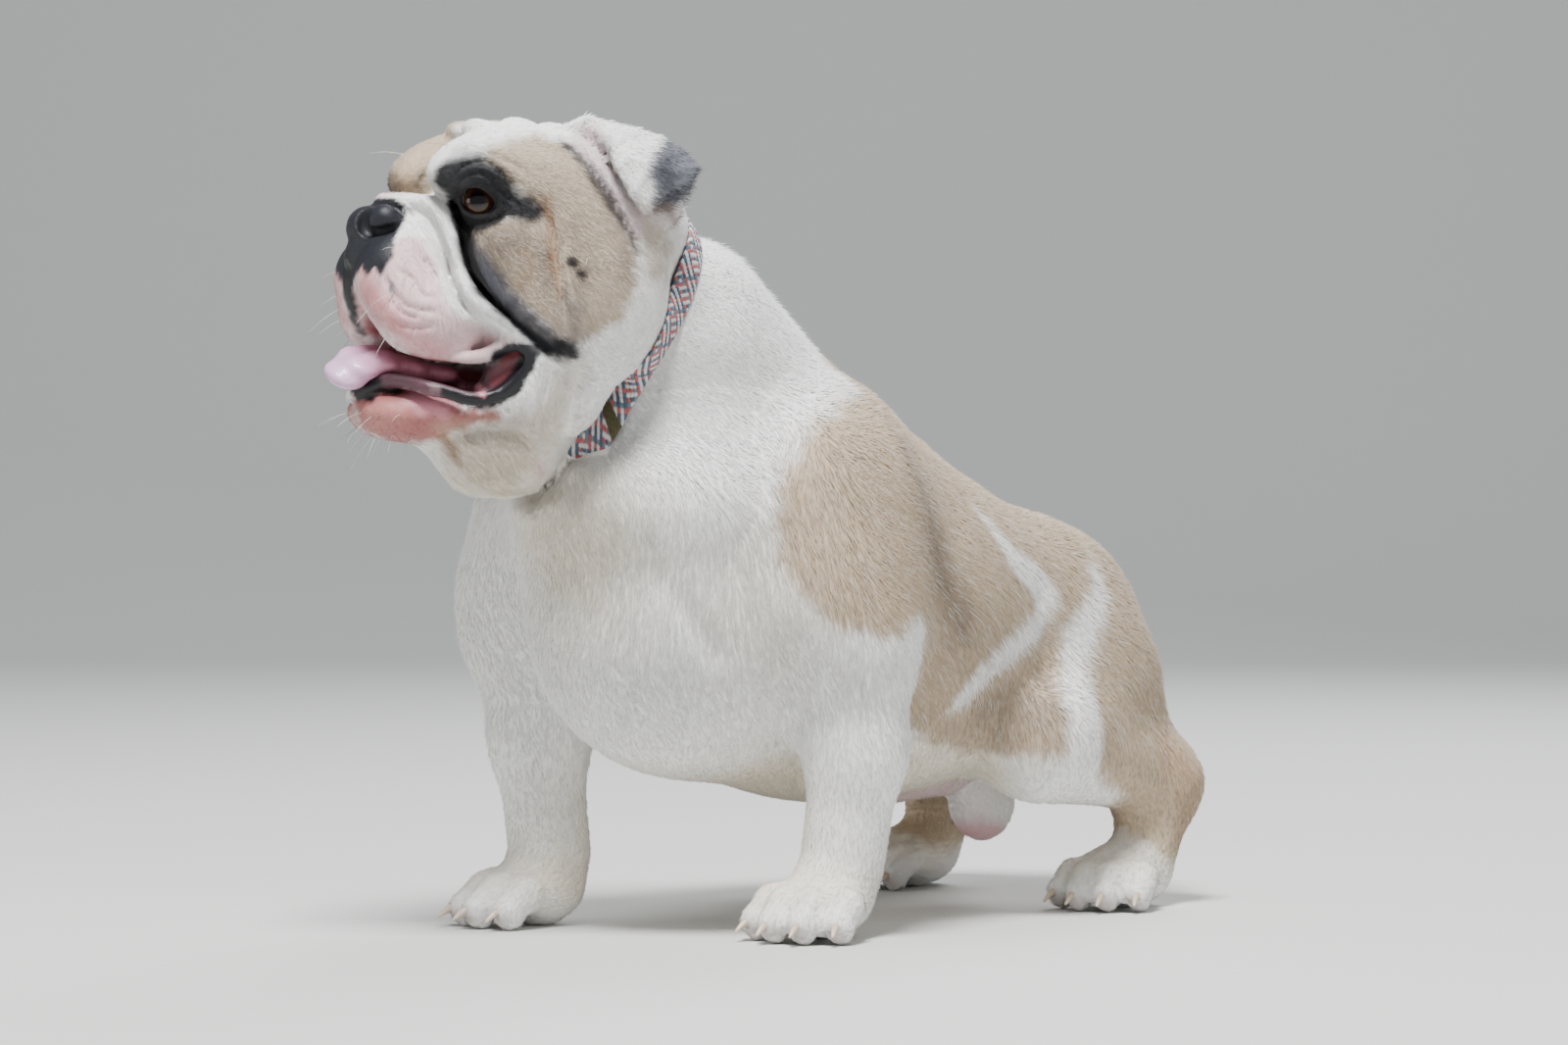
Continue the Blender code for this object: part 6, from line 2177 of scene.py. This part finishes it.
@dataclass
class Eyes:
    """Eyeballs with a bulging cornea, brown iris, dark pupil and a pinkish corner."""

    head: HeadForm
    gaze: Sequence[tuple[int, float, float]] = ((LEFT, 52, 0), (RIGHT, 4, 0))
    iris_half: float = 44.0
    pupil_half: float = 19.0
    rings: int = 72
    spokes: int = 96
    bulge: float = 1.0
    brown: Colour = (0.052, 0.019, 0.009)
    dark: Colour = (0.004, 0.003, 0.003)
    rim: Colour = (0.012, 0.007, 0.006)
    white: Colour = (0.46, 0.30, 0.26)
    rough: float = 0.08

    def ball(self, side: int, azimuth: float, height: float) -> tuple[Array, Array, Array]:
        """One eyeball: rings of points at growing angles from the gaze.

        The radius is the eye's, plus a smooth bump over the iris for the cornea.

        Args:
            side: left or right.
            azimuth: gaze to that side of straight ahead, in degrees.
            height: gaze above level, in degrees.

        Returns:
            Points, faces and colours.
        """
        a, e = math.radians(azimuth), math.radians(height)
        way = np.array([side * math.sin(a) * math.cos(e), math.cos(a) * math.cos(e), math.sin(e)])
        first = unit(np.cross(way, (0, 0, 1.0)))
        second = np.cross(way, first)
        theta = np.linspace(0, np.pi, self.rings + 1)[1:-1]
        phi = 2 * np.pi * np.arange(self.spokes) / self.spokes
        t, f = (x.ravel() for x in np.meshgrid(theta, phi, indexing="ij"))
        t, f = np.concatenate([[0], t, [np.pi]]), np.concatenate([[0], f, [0]])
        deg = np.degrees(t)
        radius = self.head.eye_radius + self.bulge * (1 - fade(deg, 20, self.iris_half + 8))
        around = np.cos(f)[:, None] * first + np.sin(f)[:, None] * second
        ray = np.cos(t)[:, None] * way + np.sin(t)[:, None] * around
        middle = np.array(self.head.eye) * (side, 1, 1)
        points = np.array([self.head.outward(middle)]) + (ray * radius[:, None]) @ self.head.axes
        fibres = 0.5 + 0.5 * np.sin(f * 37 + 2.2 * np.sin(f * 11)) * np.sin(f * 23 + 1.3)
        brown = np.array(self.brown) * (0.55 + 0.7 * fibres[:, None] * fade(deg, 22, 34)[:, None])
        dark, rim = np.array(self.dark), np.array(self.rim)
        white = np.array(self.white) * (1 - 0.35 * fade(deg, 60, 90))[:, None]
        colour = dark + (brown - dark) * fade(deg, self.pupil_half - 2, self.pupil_half + 2)[:, None]
        colour += (rim - colour) * (fade(deg, self.iris_half - 7, self.iris_half - 1))[:, None]
        colour += (white - colour) * fade(deg, self.iris_half, self.iris_half + 5)[:, None]
        return points, ring_faces(self.rings - 1, self.spokes, 1, (0, len(points) - 1)), colour

    def dress(self, bench: Bench) -> None:
        """Put both eyes in place of their solids.

        Args:
            bench: where pieces are made.
        """
        for side, azimuth, height in self.gaze:
            points, faces, colour = self.ball(side, azimuth, height)
            name = "eye_left" if side == LEFT else "eye_right"
            sheet = Sheet(points, faces, colour, self.rough).turned_out()
            bench.piece(name + "_ball", sheet, EYE_FINISH, [name])


@dataclass
class Tongue:
    """Broad flat tongue that lies in the lower jaw and hangs over the front lip."""

    head: HeadForm
    path: Rows = ((0, 34, -91), (0, 58, -84), (0, 80, -83), (2, 100, -82), (7, 116, -87),
                                       (11, 126, -97))
    halves: Row = (17, 22, 23, 22, 20, 15)
    thick: Row = (7, 8, 8.5, 8.5, 8, 7)
    roll: Row = (0, 0, 4, 14, 24, 32)
    furrow: Rows = ((0, 40, -87), (1, 84, -76), (4, 106, -73), (10, 128, -86))
    cell: float = 1.5
    low: Row = (-40, 0, -130)
    high: Row = (45, 165, -50)
    slack: float = 0.2
    back: Colour = (0.42, 0.14, 0.19)
    front: Colour = (0.58, 0.36, 0.55)
    rough: float = 0.42

    def shape(self, points: Array) -> Array:
        """Flat eggs in a row joined softly, with a furrow along the middle.

        Args:
            points: head points.

        Returns:
            The value of each, negative inside.
        """
        values = np.full(len(points), FAR)
        rows = zip(self.path, self.halves, self.thick, self.roll)
        blend_in(values, [Egg(c, (h, 14, t), 8, (0, r, 0)) for c, h, t, r in rows], points)
        Fold(self.furrow, 5, 3, 0.2).press(values, points)
        return values + self.slack

    def dress(self, bench: Bench) -> None:
        """Put the tongue in place of its solid.

        Args:
            bench: where pieces are made.
        """
        net = SurfaceNet(self.shape, Lens(np.zeros(3), self.cell, 1e9))
        points, faces = net.build(self.low, self.high)
        wave = lattice_noise(points, 6, 5)
        ahead = fade(points[:, 1], 90, 135)[:, None]
        colour = np.array(self.back) + (np.array(self.front) - self.back) * ahead
        colour = colour * (1 + 0.07 * wave[:, None])
        sheet = Sheet(self.head.outward(points), faces, colour, self.rough).turned_out()
        bench.piece("tongue_skin", sheet, TONGUE_FINISH, ["tongue"])


@dataclass
class Claws:
    """Blunt curved claws of all four paws, as one piece."""

    body: BodyForm
    root: float = 3.6
    steps: int = 9
    sides: int = 12
    arch: float = 2.2
    horn: Colour = (0.52, 0.38, 0.28)
    tip: Colour = (0.66, 0.54, 0.42)
    rough: float = 0.38

    def dress(self, bench: Bench) -> None:
        """Each claw is a round tube on a bent line, thick at its root, blunt at its tip.

        Args:
            bench: where pieces are made.
        """
        parts = []
        t = np.linspace(0, 1, self.steps)
        width = self.root * (1 - 0.72 * t ** 1.4)
        for paw in self.body.paws:
            for start, end in paw.claws():
                middle = (start + end) / 2 + (0, 0, self.arch)
                line = (1 - t)[:, None] ** 2 * start + (2 * t * (1 - t))[:, None] * middle + (t ** 2)[:, None] * end
                parts.append(tube(line, width * paw.scale, self.sides))
        points, faces, _ = merged(parts)
        along = np.concatenate([np.append(np.repeat(t, self.sides), (0, 1)) for _ in parts])
        colour = np.array(self.horn) + (np.array(self.tip) - self.horn) * along[:, None]
        bench.piece("claws", Sheet(points, faces, colour, self.rough), CLAW_FINISH)


@dataclass
class Collar:
    """Flat braided collar: strands in four colours, over and under each other on the slant."""

    PALE = (0.66, 0.64, 0.63)
    RED = (0.44, 0.10, 0.11)
    BLUE = (0.055, 0.11, 0.16)
    STEEL = (0.14, 0.20, 0.25)
    NAVY = (0.07, 0.09, 0.13)

    dog: Bulldog
    middle: Row = (-8, -72, -38)
    normal: Row = (0, 0.94, 0.34)
    width: float = 18.0
    strand: float = 3.4
    reach: float = 92.0
    binding: Row = (0.846, 0.864)
    columns: int = 1000
    rows: int = 36
    coarse: int = 152
    lining: float = 1.4
    base: float = 1.6
    strand_height: float = 1.5
    edge_height: float = 0.8
    binding_height: float = 0.6
    binding_tone: Colour = (0.085, 0.075, 0.03)
    rough: float = 0.62

    def ring(self, columns: int) -> tuple[Array, Array, Array]:
        """Where the collar's edges and middle lie on the neck.

        Args:
            columns: how many places round the neck.

        Returns:
            Rows of starts, ways outward, and how far the coat's surface lies along each.
        """
        head = self.dog.head
        normal = unit(np.array(self.normal) @ head.axes)
        across = unit(head.axes[0] - normal * (head.axes[0] @ normal))
        up = np.cross(normal, across)
        turns = 2 * np.pi * np.arange(columns) / columns
        ways = np.cos(turns)[:, None] * across + np.sin(turns)[:, None] * up
        starts, reaches = [], []
        for level in (-0.5, 0.0, 0.5):
            start = head.outward(self.middle) + normal * level * self.width
            low, high = np.full(columns, 30.0), np.full(columns, 160.0)
            for _ in range(14):
                half = (low + high) / 2
                inside = self.dog.solid(start + ways * half[:, None]) < 0
                low, high = np.where(inside, half, low), np.where(inside, high, half)
            low = np.minimum(low, self.reach)
            starts.append(start)
            kernel = np.ones(columns // 18) / (columns // 18)
            padded = np.concatenate([low[-len(kernel):], low, low[:len(kernel)]])
            reaches.append(np.convolve(padded, kernel, "same")[len(kernel):-len(kernel)])
        reaches[1] = np.maximum(reaches[1], (reaches[0] + reaches[2]) / 2)
        return np.array(starts), ways, np.array(reaches)

    def dress(self, bench: Bench) -> None:
        """Braid: height and colour of a point follow from the strand that lies on top there.

        Along the band a and across it b, the strands run along (a + b) and (a - b).  Where the
        sum of their numbers is even the first set is on top.  Height is a round bump across the
        strand that dips at its ends; colour goes by the strand's number, with painted shade where
        the bump falls away, and painted shade over the whole lining.

        Args:
            bench: where pieces are made.
        """
        coarse = self.coarse
        starts, ways, reach = self.ring(coarse)
        turn = np.arange(self.columns) / self.columns
        grid = np.arange(coarse + 1) / coarse
        way = np.stack([np.interp(turn, grid, np.append(ways[:, k], ways[0, k])) for k in range(3)], 1)
        way = unit(way)
        wide = np.stack([np.interp(turn, grid, np.append(r, r[0])) for r in reach])
        v = np.linspace(0, 1, self.rows)
        level = np.stack([np.interp(v, (0, 0.5, 1), wide[:, k]) for k in range(self.columns)])
        start = starts[0] + (starts[2] - starts[0]) * v[:, None]
        base = start[None] + way[:, None] * level[..., None]
        length = np.linalg.norm(np.diff(base[:, self.rows // 2], axis=0, append=base[:1, self.rows // 2]), axis=1)
        total = length.sum()
        turns = round(total / (self.strand * 8)) * 8
        a = (np.concatenate([[0], np.cumsum(length)[:-1]]) * turns / total)[:, None]
        b = ((v - 0.5) * self.width / self.strand)[None]
        p, q = a + b, a - b
        i, j = np.floor(p).astype(int), np.floor(q).astype(int)
        on_top = (i + j) % 2 == 0
        across = np.where(on_top, p - i, q - j) - 0.5
        along = np.where(on_top, q - j, p - i) - 0.5
        bump = np.sqrt(np.clip(1 - (2 * across) ** 2 * 0.92, 0, 1)) * (1 - 0.45 * (2 * along) ** 4)
        edge = np.clip(1 - np.abs(2 * v - 1) ** 6, 0, 1)[None]
        height = self.base + self.strand_height * bump * (0.35 + 0.65 * edge) + self.edge_height * edge
        right_set = np.array([self.PALE, self.RED, (0.64, 0.61, 0.58), self.BLUE,
                              self.PALE, (0.44, 0.12, 0.12), self.STEEL, self.NAVY])
        left_set = np.array([self.PALE, self.BLUE, self.RED, self.PALE, self.STEEL, self.RED, self.PALE, self.NAVY])
        colour = np.where(on_top[..., None], right_set[i % 8], left_set[j % 8])
        bound = (turn > self.binding[0]) & (turn < self.binding[1])
        colour[bound] = self.binding_tone
        height[bound] += self.binding_height
        # Painted shade: each strand darker where it dips beside and under its neighbours.
        colour = colour * (0.55 + 0.45 * bump)[..., None]
        outer = base + way[:, None] * height[..., None]
        inner = base - way[:, None] * self.lining
        points = np.concatenate([outer, inner[:, ::-1]], 1)
        # The lining repeats the braid's colours at 0.6, as painted shade against the neck.
        tones = np.concatenate([colour, colour[:, ::-1] * 0.6], 1)
        n, m = points.shape[:2]
        c, r = np.meshgrid(np.arange(n), np.arange(m), indexing="ij")
        c2, r2 = (c + 1) % n, (r + 1) % m
        faces = np.stack([c * m + r, c2 * m + r, c2 * m + r2, c * m + r2], -1).reshape(-1, 4)
        sheet = Sheet(points.reshape(-1, 3), faces, tones.reshape(-1, 3), self.rough).turned_out()
        bench.piece("collar_braid", sheet, BRAID_FINISH, ["collar"])


@dataclass
class Studio:
    """Plain pale floor, soft lights and the camera at the photograph's angle."""

    distance: float = 3500.0
    angle: float = 42.0
    side_slip: float = 23.0
    height: float = 335.0
    focal: float = 5100.0
    picture_width: float = 1600.0
    middle_x: float = 80.0
    middle_y: float = 86.0
    lit_point: Row = (0, 0, 0.3)
    floor_ahead: float = 8.0
    floor_behind: float = 4.0
    floor_bend: float = 2.5
    floor_half: float = 12.0
    wall: float = 9.0
    floor_tone: Row = (0.62, 0.62, 0.60, 1)
    sky_tone: Row = (0.88, 0.94, 1.0, 1)
    sky_power: float = 0.40
    lights: Sequence[tuple[str, Row, float, float, Colour]] = (
        ("key", (1.0, -1.4, 3.7), 1.1, 335, (0.99, 0.995, 1.0)),
        ("fill", (3.0, -0.4, 1.6), 1.2, 18, (0.97, 0.99, 1.0)),
        ("front", (-1.7, -2.3, 0.9), 1.2, 12, (1.0, 0.97, 0.90)),
        ("back", (-0.8, 2.4, 2.4), 1.6, 80, (0.96, 0.98, 1.0)),
    )

    @staticmethod
    def stand(name: str, data: bpy.types.ID, axes: Sequence[Array], place: Row) -> Object:
        """Put a camera or a light in the scene.

        Args:
            name: name of the object.
            data: the camera or the light.
            axes: its right, its up and the way that it looks away from.
            place: where it stands, in metres.

        Returns:
            The new object.
        """
        obj = bpy.data.objects.new(name, data)
        rows = np.eye(4)
        rows[:3] = np.column_stack([*axes, place])
        obj.matrix_world = Matrix(rows.tolist())
        bpy.context.collection.objects.link(obj)
        return obj

    def camera(self, origin: Array) -> None:
        """Camera by its place, its turn and its pitch; pixels over focal length give the angles.

        Args:
            origin: where the design frame's origin stands, in millimetres.
        """
        turn = math.radians(self.angle)
        place = np.array([self.distance * math.sin(turn) + self.side_slip, -self.distance * math.cos(turn),
                          self.height]) + origin
        yaw = turn + self.middle_x / self.focal
        pitch = self.middle_y / self.focal
        level = np.array([-math.sin(yaw), math.cos(yaw), 0])
        right = np.array([math.cos(yaw), math.sin(yaw), 0])
        ahead = level * math.cos(pitch) - np.array([0, 0, 1]) * math.sin(pitch)
        up = np.cross(right, ahead)
        data = bpy.data.cameras.new("camera")
        data.sensor_width = 36.0
        data.lens = self.focal / self.picture_width * data.sensor_width
        data.clip_end = 50.0
        bpy.context.scene.camera = self.stand("camera", data, (right, up, -ahead), place * MM)

    def light(self, name: str, place: Row, size: float, power: float, tint: Colour) -> None:
        """Square soft light that looks at the dog's middle.

        Args:
            name: name of the light.
            place: where it stands, in metres.
            size: length of its edge, in metres.
            power: its power in watts.
            tint: its colour.
        """
        data = bpy.data.lights.new(name, "AREA")
        data.size = size
        data.energy = power
        data.color = tint
        back = unit(np.array(place) - self.lit_point)
        side = unit(np.cross((0, 0, 1.0), back))
        self.stand(name, data, (side, np.cross(back, side), back), place)

    def floor(self) -> None:
        """Pale floor that curves up into a backdrop, as one smooth sheet along a bent profile."""
        arc = np.linspace(0, 1, 60)[1:] * np.pi / 2
        radius = self.floor_bend
        run = np.concatenate([np.linspace(-self.floor_ahead, self.floor_behind, 40),
                              self.floor_behind + radius * np.sin(arc), [self.floor_behind + radius]])
        rise = np.concatenate([np.zeros(40), radius * (1 - np.cos(arc)), [self.wall]])
        turn = math.radians(self.angle)
        away = np.array([-math.sin(turn), math.cos(turn)])
        side = np.array([math.cos(turn), math.sin(turn)])
        ends = np.array([-self.floor_half, self.floor_half])
        xy = run[:, None, None] * away + ends[None, :, None] * side
        points = np.concatenate([xy, np.repeat(rise[:, None, None], 2, axis=1)], -1).reshape(-1, 3)
        i = np.arange(len(run) - 1) * 2
        faces = np.stack([i, i + 1, i + 3, i + 2], 1)
        mesh = bpy.data.meshes.new("floor")
        mesh.from_pydata(points.tolist(), [], faces.tolist())
        mesh.shade_smooth()
        material = bpy.data.materials.new("pale_floor")
        material.use_nodes = True
        shader = material.node_tree.nodes["Principled BSDF"]
        shader.inputs["Base Color"].default_value = self.floor_tone
        shader.inputs["Roughness"].default_value = 0.85
        mesh.materials.append(material)
        obj = bpy.data.objects.new("floor", mesh)
        bpy.context.collection.objects.link(obj)

    def build(self, origin: Array) -> None:
        """Set up the whole studio.

        Args:
            origin: where the design frame's origin stands, in millimetres.
        """
        self.camera(origin)
        self.floor()
        for row in self.lights:
            self.light(*row)
        world = bpy.data.worlds.new("soft_sky")
        world.use_nodes = True
        sky = world.node_tree.nodes["Background"]
        sky.inputs["Color"].default_value = self.sky_tone
        sky.inputs["Strength"].default_value = self.sky_power
        bpy.context.scene.world = world


FLESH = ["head", "lower_jaw", "nose", "ear_left", "ear_right", "neck", "chest", "rump", "foreleg_left",
         "foreleg_right", "forepaw_left", "forepaw_right", "hindleg_left", "hindleg_right", "hindpaw_left",
         "hindpaw_right", "tail", "scrotum"]


def main() -> None:
    """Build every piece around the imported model, in order."""
    logging.basicConfig(level=logging.INFO, format="%(message)s")
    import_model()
    dog = Bulldog()
    low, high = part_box("eye_left")
    origin = (np.array(low) + np.array(high)) / 2 / MM - dog.head.outward(dog.head.eye)
    bench = Bench(origin)
    Studio().build(origin)
    markings = Markings(dog)
    skin = Skin(dog, markings)
    skin.build()
    skin.dress(bench, FLESH)
    Eyes(dog.head).dress(bench)
    Tongue(dog.head).dress(bench)
    Claws(dog.body).dress(bench)
    Collar(dog).dress(bench)
    Coat(dog, skin).dress(bench)
    Whiskers(dog, skin).dress(bench)


if __name__ == "__main__":
    main()
